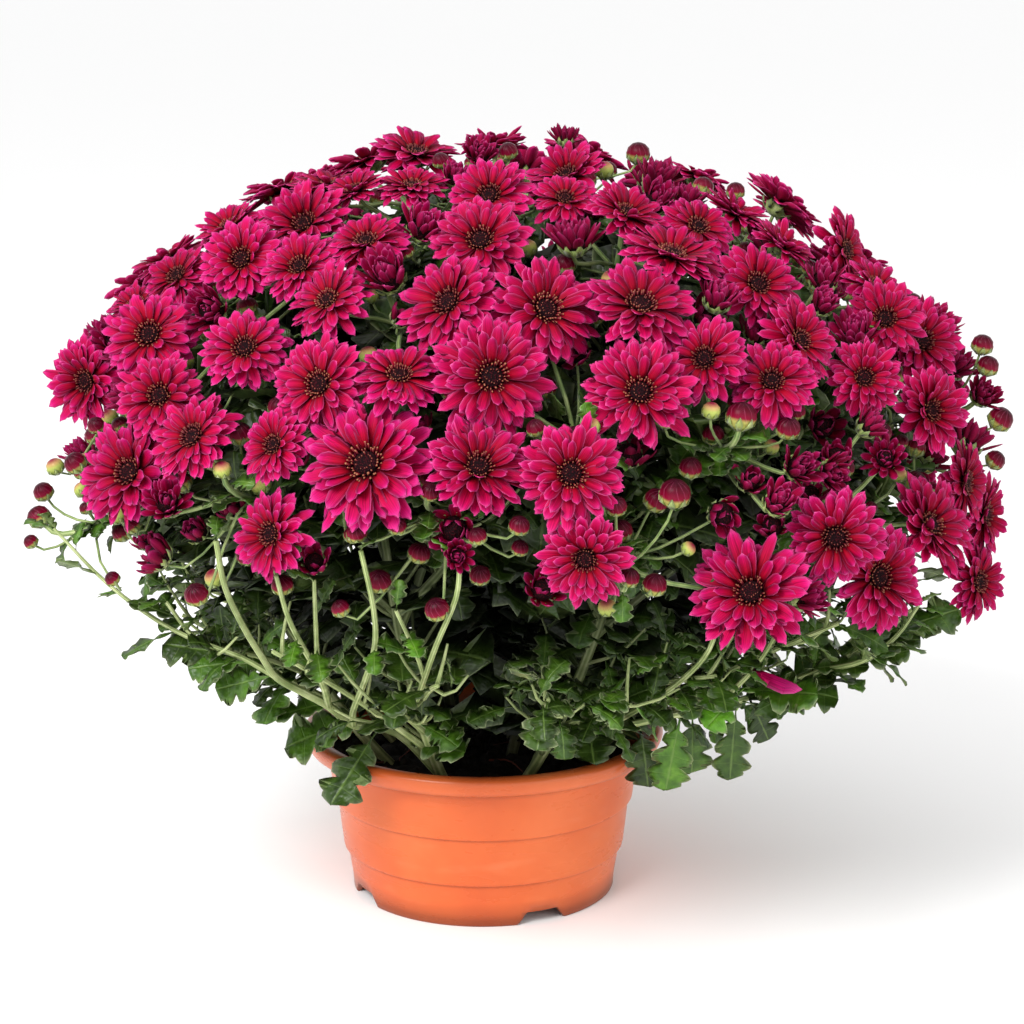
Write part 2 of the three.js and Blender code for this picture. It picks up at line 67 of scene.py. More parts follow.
# In a straight line from low, at share 0, to high, at share 1.
def between(low, high, share):
    return low + (high - low) * share


# What is left of each vector square to a direction of length 1, v - (v . d) d, at length 1.
def squared(vectors, directions):
    return unit(vectors - directions * (vectors * directions).sum(-1, keepdims=True))


# Two directions square to each axis, the same for every run: helper x axis, and axis x that.
def squareTo(axis):
    helper = np.where(np.abs(axis[..., 2:]) < 0.9, upward, np.array([1.0, 0.0, 0.0]))
    first = unit(np.cross(helper, axis))
    return first, np.cross(axis, first)


# The draws that the layout shares with the part's source: a 32-bit state grows by a fixed step, and its
# shifted and multiplied bits over 2^32 are a number from 0 up to 1.
def seededRandom(seed):
    full, step = 0xFFFFFFFF, 0x6D2B79F5
    state = seed

    def draw():
        nonlocal state
        state = (state + step) & full
        mixed = ((state ^ (state >> 15)) * (state | 1)) & full
        mixed ^= (mixed + (((mixed ^ (mixed >> 7)) * (mixed | 61)) & full)) & full
        return (mixed ^ (mixed >> 14)) / (full + 1)

    return draw


# Where everything grows, as in the part's source
dome = {"centre": np.array([18.0, 5.0, 234.0]), "size": np.array([246.0, 240.0, 178.0])}
eye = np.array([16.0, -1400.0, 530.0])
soilTop = 77.0
stems = {"outer": 8, "inner": 4, "outerRadius": 44, "innerRadius": 17, "outerPolar": 70, "innerPolar": 26,
         "sunk": 14, "reach": 0.66, "bendAt": 0.45, "outerBend": (16, -12), "innerBend": (4, 6),
         "steps": 15}
sprays = {"count": 46, "lowestPolar": 96, "forkDepth": 46, "sideShares": (0.1, 0.48)}
branches = {"lowest": 0.4, "highest": 0.95, "spread": 42, "bow": 0.35, "within": (0.2, 0.98), "seat": 3.0,
            "steps": 11}
shoots = {"perStem": 3, "lowest": 0.24, "apart": 0.1, "low": 100, "near": 172, "far": 208,
          "middleShorter": 22, "slope": 0.78, "turn": 0.24, "stray": 0.08, "rim": 100, "arch": 6,
          "steps": 9}
backHeads = {"count": 120, "lowestPolar": 97, "grazing": 0.22, "spacing": 33, "widths": (33, 46),
             "halfOpenShare": 0.2, "halfOpenWidth": 0.6}
facingOut = {"towardsEye": 0.45, "scatter": 0.35}
crowding = {"passes": 12, "share": 0.96}
seeds = {"heads": 7, "firstShoots": 23, "young": 11, "lift": 17, "sprays": 100, "stems": 300, "soil": 5}
headUnder = {"open": -0.34, "half": -0.75, "bud": -0.8, "young": -0.78}  # where a stalk ends, in radii

# Heads seen from the front: (mm right of the pot's axis, mm above the floor, width in mm).
openHeads = [
    (4, 385, 39), (-4, 362, 43), (-18, 328, 45), (-92, 370, 42), (-126, 341, 38), (-101, 344, 36),
    (-82, 335, 36), (-59, 360, 36), (-164, 313, 43), (-128, 303, 38), (-212, 288, 41), (-87, 276, 42),
    (-46, 287, 38), (-66, 244, 56), (-168, 274, 38), (-160, 260, 40), (-187, 235, 48), (-111, 253, 32),
    (-116, 200, 38), (7, 279, 48), (4, 248, 44), (-135, 369, 34), (-164, 342, 34), (45, 396, 37),
    (75, 377, 36), (105, 348, 45), (114, 367, 34), (141, 372, 34), (149, 335, 39), (42, 321, 48),
    (85, 324, 47), (119, 300, 36), (87, 280, 45), (152, 287, 37), (166, 305, 37), (212, 335, 34),
    (218, 320, 36), (234, 309, 41), (207, 283, 34), (243, 269, 39), (46, 228, 44), (54, 201, 38),
    (197, 200, 43), (212, 182, 46), (245, 205, 47), (274, 202, 40), (148, 167, 50), (273, 183, 36),
    (165, 355, 32), (-49, 388, 32), (-71, 381, 30), (52, 382, 30), (-189, 321, 31),
]
halfOpenHeads = [
    (-57, 342, 28), (-183, 307, 28), (-176, 222, 22), (-147, 327, 26), (-1, 408, 20), (-34, 367, 25),
    (-16, 395, 18), (49, 363, 26), (94, 396, 24), (108, 384, 20), (120, 337, 22), (184, 327, 20),
    (201, 309, 26), (178, 235, 21), (162, 219, 22), (187, 228, 20), (272, 277, 20), (268, 255, 26),
    (217, 248, 19), (211, 264, 19), (257, 296, 25), (244, 318, 25), (179, 164, 22), (-14, 188, 16),
    (91, 382, 24), (-194, 279, 22), (-195, 310, 22), (44, 417, 16), (173, 349, 22),
]
closedBuds = [
    (83, 408, 13), (30, 258, 9), (105, 223, 15), (268, 304, 12), (273, 293, 12), (278, 264, 14),
    (279, 242, 11), (232, 327, 12), (142, 268, 15), (164, 264, 12), (124, 269, 9), (80, 176, 10),
    (-243, 210, 13), (-240, 224, 11), (-233, 238, 10), (-222, 240, 12), (-210, 261, 9), (-158, 166, 12),
    (-204, 175, 8), (-149, 245, 9), (-69, 202, 10), (-47, 205, 9), (-27, 225, 9), (-3, 199, 9),
    (20, 205, 10), (56, 254, 9), (73, 216, 10), (14, 409, 10), (65, 399, 10), (135, 388, 10),
    (-22, 404, 9), (-248, 196, 8),
]


# The dome's point at an azimuth from the front and a polar angle from the top: the centre plus its
# half-axes times (sin p sin a, -sin p cos a, cos p).
def domePoint(azimuth, polar):
    out = np.array([sin(polar) * sin(azimuth), -sin(polar) * cos(azimuth), cos(polar)])
    return dome["centre"] + dome["size"] * out


# The i-th of count places spread over the dome: the cosine of its polar angle falls by equal steps down to
# the lowest, and each place turns on by the golden angle.
def spiralPoint(i, count, lowestPolar):
    height = 1 - ((i + 0.5) / count) * (1 - cos(radians(lowestPolar)))
    return domePoint(i * goldenTurn, np.arccos(height))


# The way out of the dome: the step from its centre over its half-axes squared.
def domeNormal(point):
    return unit((point - dome["centre"]) / dome["size"] ** 2)


# Where the line of sight through a place on the axis plane meets the dome, or passes closest to it: the
# nearer root t of |start + t along| = 1, both in the dome's half-axes.
def seenOnDome(right, up):
    sight = np.array([right, 0.0, up]) - eye
    start = (eye - dome["centre"]) / dome["size"]
    along = sight / dome["size"]
    square = along @ along
    half = start @ along
    inside = max(half * half - square * (start @ start - 1), 0)
    return eye + sight * ((-half - sqrt(inside)) / square)


# A head looks out of the dome, in front partly towards the eye, and strays a little, more up than down.
def headAt(point, width, kind, front, random):
    facing = domeNormal(point) + unit(eye - point) * (facingOut["towardsEye"] if front else 0)
    scatter = np.array([random() - 0.5, random() - 0.5, random() - 0.2])
    facing = unit(facing + scatter * facingOut["scatter"])
    return {"point": point, "width": width, "kind": kind, "facing": facing, "turn": random() * pi,
            "front": front}


# The listed heads, and then those of the back on a golden spiral, wherever one is hidden and has room.
def layHeads():
    random = seededRandom(seeds["heads"])
    heads = []
    for rows, kind in ((openHeads, "open"), (halfOpenHeads, "half"), (closedBuds, "bud")):
        for right, up, width in rows:
            heads.append(headAt(seenOnDome(right, up), width, kind, True, random))
    for i in range(backHeads["count"]):
        point = spiralPoint(i, backHeads["count"], backHeads["lowestPolar"])
        width = between(*backHeads["widths"], random())
        kind = "half" if random() < backHeads["halfOpenShare"] else "open"
        hidden = domeNormal(point) @ unit(eye - point) < backHeads["grazing"]
        apart = all(np.linalg.norm(head["point"] - point) > backHeads["spacing"] for head in heads)
        if hidden and apart:
            share = backHeads["halfOpenWidth"] if kind == "half" else 1
            heads.append(headAt(point, width * share, kind, False, random))
    settle(heads)
    return heads


# Heads that stand closer than their petals allow push each other aside, each by half of what lacks.
def settle(heads):
    places = [head["point"] for head in heads]
    for _ in range(crowding["passes"]):
        for i in range(1, len(heads)):
            for j in range(i):
                wanted = crowding["share"] * (heads[i]["width"] + heads[j]["width"]) / 2
                gap = places[i] - places[j]
                distance = sqrt(gap @ gap)
                if distance < wanted:
                    push = gap * ((wanted - distance) / 2 / distance)
                    places[i] = places[i] + push
                    places[j] = places[j] - push
    for head, place in zip(heads, places):
        head["point"] = place


# Where a stalk meets a head: under its point, by its own share of the radius.
def neckOf(head):
    return head["point"] + head["facing"] * headUnder[head["kind"]] * head["width"] / 2


# Each head grows on the spray whose centre on the dome is nearest to it. The stalks of a spray part at its
# fork, below the middle of its heads.
def laySprays(heads):
    centres = np.array([spiralPoint(i, sprays["count"], sprays["lowestPolar"])
                        for i in range(sprays["count"])])
    nearest = [int(length(centres - head["point"])[:, 0].argmin()) for head in heads]
    groups = []
    for k in range(sprays["count"]):
        members = [head for head, centre in zip(heads, nearest) if centre == k]
        if members:
            middle = np.mean([head["point"] for head in members], axis=0)
            members.sort(key=lambda head: np.linalg.norm(head["point"] - middle))
            fork = middle - domeNormal(middle) * sprays["forkDepth"]
            groups.append({"members": members, "facing": domeNormal(middle), "fork": fork})
    return groups


# A bend through three control points: (1 - t)^2 a + 2 t (1 - t) b + t^2 c, for t at equal steps.
def bendThrough(a, b, c, steps):
    t = np.linspace(0, 1, steps)[:, None]
    return (1 - t) ** 2 * a + 2 * t * (1 - t) * b + t * t * c


# The place and direction at a share of a path's length.
def onPath(path, share):
    runs = np.concatenate([[0], np.cumsum(length(np.diff(path, axis=0))[:, 0])])
    wanted = np.asarray(share) * runs[-1]
    point = np.stack([np.interp(wanted, runs, path[:, k]) for k in range(3)], -1)
    slopes = np.gradient(path, axis=0)
    return point, unit(np.stack([np.interp(wanted, runs, slopes[:, k]) for k in range(3)], -1))


# Main stems leave the soil on two rings. Each bends outwards and ends at a share of the way to its aim on
# the dome.
def mainStems():
    trunks = []
    for k in range(stems["outer"] + stems["inner"]):
        ring = "outer" if k < stems["outer"] else "inner"
        azimuth = (k + 0.5) * 2 * pi / stems[ring]
        heading = np.array([sin(azimuth), -cos(azimuth), 0])
        base = heading * stems[ring + "Radius"]
        base[2] = soilTop - stems["sunk"]
        aim = domePoint(azimuth, radians(stems[ring + "Polar"]))
        end = between(upward * soilTop, aim, stems["reach"])
        out, rise = stems[ring + "Bend"]
        bend = between(base, end, stems["bendAt"]) + heading * out + upward * rise
        trunks.append({"outer": ring == "outer", "azimuth": azimuth, "aim": aim, "sprays": [],
                       "path": bendThrough(base, bend, end, stems["steps"])})
    return trunks


# A branch leaves its main stem lower, the wider the angle between its spray and the stem's aim is.
def branchPath(spray, trunk):
    crown = upward * soilTop
    turned = unit(spray["fork"] - crown) @ unit(trunk["aim"] - crown)
    spread = np.degrees(np.arccos(np.clip(turned, -1, 1)))
    share = between(branches["highest"], branches["lowest"], min(spread / branches["spread"], 1))
    upwards = unit(neckOf(spray["members"][0]) - spray["fork"])
    tip = spray["fork"] - upwards * branches["seat"]
    start = onPath(trunk["path"], np.clip(share, *branches["within"]))[0]
    bend = tip - upwards * branches["bow"] * np.linalg.norm(tip - start)
    return bendThrough(start, bend, tip, branches["steps"])


# Leafy side shoots fill the bush below its heads: they end on a cone that widens from the pot's rim.
def shootPaths(trunk, random):
    paths = []
    for i in range(shoots["perStem"] if trunk["outer"] else 0):
        azimuth = trunk["azimuth"] + (i - 1) * shoots["turn"] + (random() - 0.5) * shoots["stray"]
        radius = between(shoots["near"], shoots["far"], random()) - shoots["middleShorter"] * (i % 2)
        start = onPath(trunk["path"], shoots["lowest"] + shoots["apart"] * i)[0]
        end = np.array([sin(azimuth), -cos(azimuth), 0]) * radius
        end[0] += dome["centre"][0] * radius / dome["size"][0]
        end[2] = shoots["low"] + (radius - shoots["rim"]) * shoots["slope"]
        bend = (start + end) / 2 + upward * shoots["arch"]
        paths.append(bendThrough(start, bend, end, shoots["steps"]))
    return paths


# Small half-open heads and buds come up between the open ones, a little lower, on the nearest spray.
young = {"count": 460, "lowestPolar": 98, "depth": (0.88, 0.97), "widths": (7, 12.5), "apart": 0.66,
         "gap": 1, "scatter": 0.3, "openShare": 0.3, "openWidth": 1.55}


# Places of a golden spiral, each kept if it is farther from every head so far than both their radii and the
# gap, where a listed head counts with a share of its radius.
def layYoungHeads(heads, groups):
    random = np.random.default_rng(seeds["young"])
    middles = np.array([group["fork"] + group["facing"] * sprays["forkDepth"] for group in groups])
    places = np.array([head["point"] for head in heads])
    reach = np.array([head["width"] for head in heads]) * young["apart"] / 2
    for group in groups:
        group["young"] = []
    for i in range(young["count"]):
        depth = random.uniform(*young["depth"])
        width = random.uniform(*young["widths"])
        kind = "young" if random.random() < young["openShare"] else "bud"
        width *= young["openWidth"] if kind == "young" else 1
        point = between(dome["centre"], spiralPoint(i, young["count"], young["lowestPolar"]), depth)
        if (length(places - point)[:, 0] > reach + width / 2 + young["gap"]).all():
            places = np.vstack([places, point])
            reach = np.append(reach, width / 2)
            facing = unit(domeNormal(point) + random.normal(0, young["scatter"], 3))
            head = {"point": point, "width": width, "kind": kind, "facing": facing,
                    "turn": random.uniform(0, pi), "front": False}
            groups[int(length(middles - point)[:, 0].argmin())]["young"].append(head)


budLift = {"own": 0.45, "up": 0.8, "stray": 0.16, "bud": 1.0, "young": 0.45, "half": 0.3}


# Closed buds look up rather than out, and half-open heads a little: the new way is own times the old one,
# plus upward times up and the kind's share, plus a normal stray.
def liftBuds(groups):
    random = np.random.default_rng(seeds["lift"])
    for spray in groups:
        for head in spray["members"] + spray["young"]:
            if head["kind"] != "open":
                up = budLift["up"] * budLift[head["kind"]]
                stray = random.normal(0, budLift["stray"], 3)
                head["facing"] = unit(head["facing"] * budLift["own"] + upward * up + stray)


heads = layHeads()
groups = laySprays(heads)
layYoungHeads(heads, groups)
trunks = mainStems()
for spray in groups:
    nearest = min(trunks, key=lambda trunk: np.linalg.norm(spray["fork"] - trunk["aim"]))
    spray["path"] = branchPath(spray, nearest)
    nearest["sprays"].append(spray)
liftBuds(groups)
print("laid out", len(heads), "heads and", sum(len(group["young"]) for group in groups), "young ones in",
      len(groups), "sprays on", len(trunks), "stems")

triangles = {}
# The leafy skirt below the dome's middle: its radius at the rim's height, how fast it widens, its least
# radius, and the shares of the radius where the bush is deep and where it is open.
bush = {"rim": 100, "slope": 0.78, "least": 60, "deep": 0.6, "outer": 0.98}


# A piece gathers its shapes as arrays, and one mesh is made of them.
def newPiece():
    return {"count": 0, "points": [], "faces": [], "finish": [], "place": [], "tone": []}


# Adds copies of a shape. points: (copies, n, 3) in millimetres. faces: index arrays for one copy. place:
# (copies, n, 3), the share across, the share along and the side of the surface. tone: (copies, 3).
def addShape(piece, points, faces, finish, place, tone):
    copies, n = points.shape[:2]
    starts = piece["count"] + n * np.arange(copies)
    for corners in faces:
        whole = (corners[None] + starts[:, None, None]).reshape(-1, corners.shape[1])
        piece["faces"].append(whole)
        piece["finish"].append([finish] * len(whole))
    piece["points"].append(points.reshape(-1, 3))
    piece["place"].append(np.broadcast_to(place, points.shape).reshape(-1, 3))
    piece["tone"].append(np.repeat(tone, n, axis=0))
    piece["count"] += copies * n


# How deep a point lies inside the bush, from 0 at its surface to 1: by its share of the dome's radii above
# the dome's middle, and of the leafy skirt's radius below it.
def shelter(points):
    away = (points - dome["centre"]) / dome["size"]
    skirt = bush["rim"] + (points[:, 2] - bush["rim"]) / bush["slope"]
    skirt = np.clip(skirt, bush["least"], dome["size"][0])
    level = np.where(away[:, 2] > 0, length(away)[:, 0],
                     length(away[:, :2])[:, 0] * dome["size"][0] / skirt)
    return np.clip((bush["outer"] - level) / (bush["outer"] - bush["deep"]), 0, 1)


# Makes one mesh of a piece's arrays: points times mm plus the pot's axis, with the finishes and the shares
# that they read. The piece rides on the body and stands for the nodes.
def makePiece(name, piece, nodes):
    mesh = bpy.data.meshes.new(name)
    triangles[name] = sum(len(faces) * (faces.shape[1] - 2) for faces in piece["faces"])
    points = np.concatenate(piece["points"])
    sizes = np.concatenate([np.full(len(f), f.shape[1]) for f in piece["faces"]])
    corners = np.concatenate([f.ravel() for f in piece["faces"]])
    used = sorted({finish for row in piece["finish"] for finish in row})
    finish = np.concatenate([[used.index(f) for f in row] for row in piece["finish"]])
    mesh.vertices.add(len(points))
    mesh.vertices.foreach_set("co", (points * mm + potAxis).astype(np.float32).ravel())
    mesh.loops.add(len(corners))
    mesh.loops.foreach_set("vertex_index", corners.astype(np.int32))
    mesh.polygons.add(len(sizes))
    mesh.polygons.foreach_set("loop_start", np.concatenate([[0], np.cumsum(sizes)[:-1]]).astype(np.int32))
    mesh.polygons.foreach_set("material_index", finish.astype(np.int32))
    mesh.polygons.foreach_set("use_smooth", np.ones(len(sizes), bool))
    for key in ("place", "tone"):
        layer = mesh.attributes.new(key, "FLOAT_VECTOR", "POINT")
        layer.data.foreach_set("vector", np.concatenate(piece[key]).astype(np.float32).ravel())
    # The shelter also drives the painted shade of the plant's finishes deep in the bush.
    layer = mesh.attributes.new("shelter", "FLOAT", "POINT")
    layer.data.foreach_set("value", shelter(points).astype(np.float32))
    for key in used:
        mesh.materials.append(finishes[key])
    mesh.update(calc_edges=True)
    mesh.validate()
    thing = bpy.data.objects.new(name, mesh)
    bpy.context.scene.collection.objects.link(thing)
    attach(thing, "root")
    if nodes:
        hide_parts(*nodes)


# A blade's faces: a front sheet on the whole (across, along) grid, and a back sheet of two strips between
# the border, which both share, and a spine of its own under the middle column. place holds the share
# across and along and the side (1 front, 0 border, -1 back) of every vertex.
def bladeSheet(across, along):
    across, along = np.array(across), np.array(along)
    rows, columns = len(along), len(across)
    front = np.arange(rows * columns).reshape(rows, columns)
    spine = front[:, columns // 2].copy()
    spine[1:-1] = rows * columns + np.arange(rows - 2)
    u, v = np.meshgrid(across, along)
    side = np.zeros_like(u, float)
    side[1:-1, 1:-1] = 1

    def strip(left, right):
        return np.stack([left[:-1], right[:-1], right[1:], left[1:]], -1)

    quads = [strip(front[:, k], front[:, k + 1]) for k in range(columns - 1)]
    backs = [strip(spine, front[:, 0]), strip(front[:, -1], spine)]
    fives = []
    if columns == 5:  # the border's own vertices between its corners and the spine stay joined
        backs = [back[1:-1] for back in backs]
        fives = [np.array([
            [spine[0], front[0, 1], front[0, 0], front[1, 0], spine[1]],
            [spine[-2], front[-2, 0], front[-1, 0], front[-1, 1], spine[-1]],
            [front[0, -1], front[0, -2], spine[0], spine[1], front[1, -1]],
            [front[-2, -1], spine[-2], spine[-1], front[-1, -2], front[-1, -1]],
        ])]
    u = np.concatenate([u.ravel(), np.zeros(rows - 2)])
    v = np.concatenate([v.ravel(), along[1:-1]])
    side = np.concatenate([side.ravel(), -np.ones(rows - 2)])
    return {"faces": [np.concatenate(quads + backs)] + fives, "u": u, "v": v, "side": side,
            "place": np.stack([u, v, side], -1)}


# Lays blades along arcs. At share s of its length a blade is turned by angle rise + curl s, so its middle
# line is (sin(angle) - sin(rise)) / curl along and (cos(rise) - cos(angle)) / curl up. Points stand
# across and lift off it, both turned about it by twist s.
def layBlades(base, along, up, size, s, across, lift, rise, curl, twist):
    side = np.cross(along, up)
    curl = np.where(np.abs(curl) < 1e-3, 1e-3, curl)[:, None]
    rise = rise[:, None]
    angle = rise + curl * s
    out = size[:, None] * (np.sin(angle) - np.sin(rise)) / curl
    height = size[:, None] * (np.cos(rise) - np.cos(angle)) / curl
    turned = twist[:, None] * s
    acrossNow = across * np.cos(turned) - lift * np.sin(turned)
    liftNow = across * np.sin(turned) + lift * np.cos(turned)
    out = out - liftNow * np.sin(angle)
    height = height + liftNow * np.cos(angle)
    return (base[:, None] + along[:, None] * out[..., None] + up[:, None] * height[..., None]
            + side[:, None] * acrossNow[..., None])


# Rings of points joined round and along, with a flat face on each end. rings: (copies, rows, around, 3)
def addRings(piece, rings, finish, along, tone):
    copies, rows, around = rings.shape[:3]
    index = np.arange(rows * around).reshape(rows, around)
    onwards = np.roll(index, -1, 1)
    walls = np.stack([index[:-1], onwards[:-1], onwards[1:], index[1:]], -1).reshape(-1, 4)
    ends = np.stack([index[0, ::-1], index[-1]])
    u, v = np.meshgrid(np.arange(around) / around, along)
    place = np.stack([u, v, np.ones_like(u)], -1).reshape(-1, 3)
    addShape(piece, rings.reshape(copies, -1, 3), [walls, ends], finish, place, tone)


# Tubes along paths, (copies, rows, 3): at each path point a ring, radius off it, square to the path.
def addTubes(piece, paths, radius, around, finish, tone):
    slopes = unit(np.gradient(paths, axis=1))
    middle = np.broadcast_to(unit(paths[:, -1:] - paths[:, :1]), paths.shape)
    first = squared(squareTo(middle)[0], slopes)
    second = np.cross(slopes, first)
    angle = np.arange(around)[:, None] * 2 * pi / around
    radius = np.broadcast_to(radius, paths.shape[:2])[..., None, None]
    ring = (first[:, :, None] * np.cos(angle) + second[:, :, None] * np.sin(angle)) * radius
    addRings(piece, paths[:, :, None] + ring, finish, np.linspace(0, 1, paths.shape[1]), tone)


# Turned shapes: profile rows of (radius, height), in units of size, round each axis from its centre. The
# radius swells by wave cos(waves angle).
def addTurned(piece, centre, axis, size, profile, around, finish, tone, wave=0.0, waves=8):
    profile = np.array(profile, float)
    first, second = squareTo(axis)
    angle = np.arange(around) * 2 * pi / around
    radius = profile[:, 0, None] * (1 + wave * np.cos(waves * angle))
    ring = (first[:, None, None] * (radius * np.cos(angle))[None, ..., None]
            + second[:, None, None] * (radius * np.sin(angle))[None, ..., None]
            + axis[:, None, None] * profile[None, :, 1, None, None])
    rings = centre[:, None, None] + ring * size[:, None, None, None]
    along = (profile[:, 1] - profile[:, 1].min()) / np.ptp(profile[:, 1])
    addRings(piece, rings, finish, along, tone)


# How many sides tubes and turned shapes have
sides = {"trunk": 10, "branch": 8, "frontBranch": 7, "twig": 5, "stalk": 8, "sideStalk": 6, "cup": 8,
         "bud": 12, "core": 8, "disc": 10, "floret": 4, "crumb": 6, "thread": 5}


# sRGB hex to linear: c / 12.92 up to 0.04045, ((c + 0.055) / 1.055) ^ 2.4 above it.
def linear(hexColour):
    parts = np.array([int(hexColour[i:i + 2], 16) for i in (0, 2, 4)]) / 255
    parts = np.where(parts <= 0.04045, parts / 12.92, ((parts + 0.055) / 1.055) ** 2.4)
    return (*parts, 1.0)


# The same share in red, green and blue.
def grey(value):
    return (value, value, value, 1.0)


colours = {"out": 2, "data_type": "RGBA"}  # for a Mix node that mixes colours


# Adds a node and gives one output of it. inputs: by number or name, and a socket among them is linked.
# stops: the (position, colour) rows of a ramp.
def node(tree, kind, inputs, out=0, stops=(), **settings):
    made = tree.nodes.new("ShaderNode" + kind)
    for key, value in settings.items():
        setattr(made, key, value)
    for key, value in inputs.items():
        if isinstance(value, bpy.types.NodeSocket):
            tree.links.new(value, made.inputs[key])
        else:
            made.inputs[key].default_value = value
    if stops:
        marks = made.color_ramp.elements
        while len(marks) < len(stops):
            marks.new(0.5)
        for mark, (position, colour) in zip(marks, stops):
            mark.position = position
            mark.color = colour if isinstance(colour, tuple) else linear(colour)
    return made.outputs[out]


# Starts a material, sets what is the same all over on its shader, and gives it with the call that adds
# nodes to it.
def newFinish(name, **constants):
    material = bpy.data.materials.new(name)
    material.use_nodes = True
    shader = material.node_tree.nodes["Principled BSDF"]
    for key, value in constants.items():
        shader.inputs[key.replace("_", " ")].default_value = value
    return material, partial(node, material.node_tree)


# The three shares of place or tone that a mesh carries.
def carried(add, name):
    return add("SeparateXYZ", {0: add("Attribute", {}, "Vector", attribute_name=name)}, slice(0, 3))


# Painted shade deep in the bush: mixes towards a darker colour by the mesh's own shelter.
def paintedDepthShade(add, body, deepest, most):
    share = add("Attribute", {}, "Fac", attribute_name="shelter")
    share = add("Math", {0: share, 1: most}, operation="MULTIPLY")
    return add("Mix", {0: share, 6: body, 7: linear(deepest)}, **colours)


# Links the colour to the shader, and the relief through a bump of a strength and a depth in millimetres.
def finished(material, colour, relief=None, strength=0.0, depth=0.0, invert=False):
    tree = material.node_tree
    shader = tree.nodes["Principled BSDF"]
    tree.links.new(colour, shader.inputs["Base Color"])
    if relief is not None:
        bump = node(tree, "Bump", {"Height": relief, "Strength": strength, "Distance": depth * mm},
                    invert=invert)
        tree.links.new(bump, shader.inputs["Normal"])
    return material


# Fresh ray petal: velvety cells over pigment, crimson at the base and magenta at the tip, with a thin
# pale rim, fine streaks along it, and a duller, dustier back. tone: warmth, darkness, and one kept free.
def petalFinish():
    material, add = newFinish("FreshRayPetal", Roughness=0.6, Specular_IOR_Level=0.08)
    u, v, side = carried(add, "place")
    warmth, darkness, _ = carried(add, "tone")
    streaks = add("CombineXYZ", {  # ten lines from edge to middle, and other ones on each petal
        0: add("Math", {0: u, 1: 10.0}, operation="MULTIPLY"),
        1: add("Math", {0: v, 1: 1.3}, operation="MULTIPLY"),
        2: add("Math", {0: warmth, 1: 90.0}, operation="MULTIPLY")})
    grain = add("TexNoise", {"Vector": streaks, "Scale": 1.0, "Detail": 3.0})
    magenta = add("ValToRGB", {0: v}, stops=[
        (0.0, "50000a"), (0.22, "8e0018"), (0.5, "a6002c"), (0.78, "b40250"), (1.0, "c60a7a")])
    crimson = add("ValToRGB", {0: v}, stops=[
        (0.0, "50000a"), (0.3, "96001c"), (0.75, "ae0040"), (1.0, "ba045e")])
    body = add("Mix", {0: warmth, 6: magenta, 7: crimson}, **colours)
    streaks = add("ValToRGB", {0: grain}, stops=[(0.3, grey(0.5)), (0.7, grey(1.36))])
    body = add("Mix", {0: 1.0, 6: body, 7: streaks}, **colours, blend_type="MULTIPLY")
    across = add("Math", {0: u}, operation="ABSOLUTE")
    edge = add("Math", {0: across, 1: 8.0}, operation="POWER")
    tip = add("Math", {0: v, 1: 22.0}, operation="POWER")
    rim = add("Math", {0: edge, 1: tip}, operation="MAXIMUM")
    rim = add("Math", {0: rim, 1: 0.92}, operation="MULTIPLY")
    rim = add("Math", {0: rim, 1: v}, operation="MULTIPLY")
    upper = add("Math", {0: side, 1: -0.5}, operation="GREATER_THAN")
    rim = add("Math", {0: rim, 1: upper}, operation="MULTIPLY")
    body = add("Mix", {0: rim, 6: body, 7: linear("ff6cb4")}, **colours)
    under = add("Math", {0: side, 1: -0.05}, operation="LESS_THAN")
    under = add("Math", {0: under, 1: 0.45}, operation="MULTIPLY")
    body = add("Mix", {0: under, 6: body, 7: linear("8c1c4c")}, **colours)
    body = add("Mix", {0: darkness, 6: body, 7: linear("4a0016")}, **colours)
    # Painted shade: the petal darkens towards 300010 deep in the bush, by its shelter.
    return finished(material, paintedDepthShade(add, body, "300010", 0.7), grain, 0.35, 0.6)


# Disc of unopened florets: small blackish-wine domes packed close, 0.9 mm wide, with painted shade between
# them.
def discFinish():
    material, add = newFinish("FloretDisc", Roughness=0.75, Specular_IOR_Level=0.1)
    where = add("TexCoord", {}, "Object")
    cells = add("TexVoronoi", {"Vector": where, "Scale": 1.1 / mm}, "Distance")
    # Painted shade: darker from each dome's middle out to the gaps between the domes.
    body = add("ValToRGB", {0: cells}, stops=[(0.0, "4c0a16"), (0.5, "120206")])
    return finished(material, body, cells, 0.8, 0.8, invert=True)


# Open disc floret: a wine-red tube with a pollen-dusted tan mouth. tone: how unripe it is comes second.
def floretFinish():
    material, add = newFinish("DiscFloret", Roughness=0.5, Specular_IOR_Level=0.4)
    v = carried(add, "place")[1]
    unripe = carried(add, "tone")[1]
    dusted = add("ValToRGB", {0: v}, stops=[
        (0.0, "24040c"), (0.5, "6c0c1c"), (0.85, "7c1e1c"), (0.98, "9a6444")])
    bare = add("ValToRGB", {0: v}, stops=[(0.0, "160308"), (0.6, "480814"), (1.0, "6c1c1e")])
    return finished(material, add("Mix", {0: unripe, 6: dusted, 7: bare}, **colours))


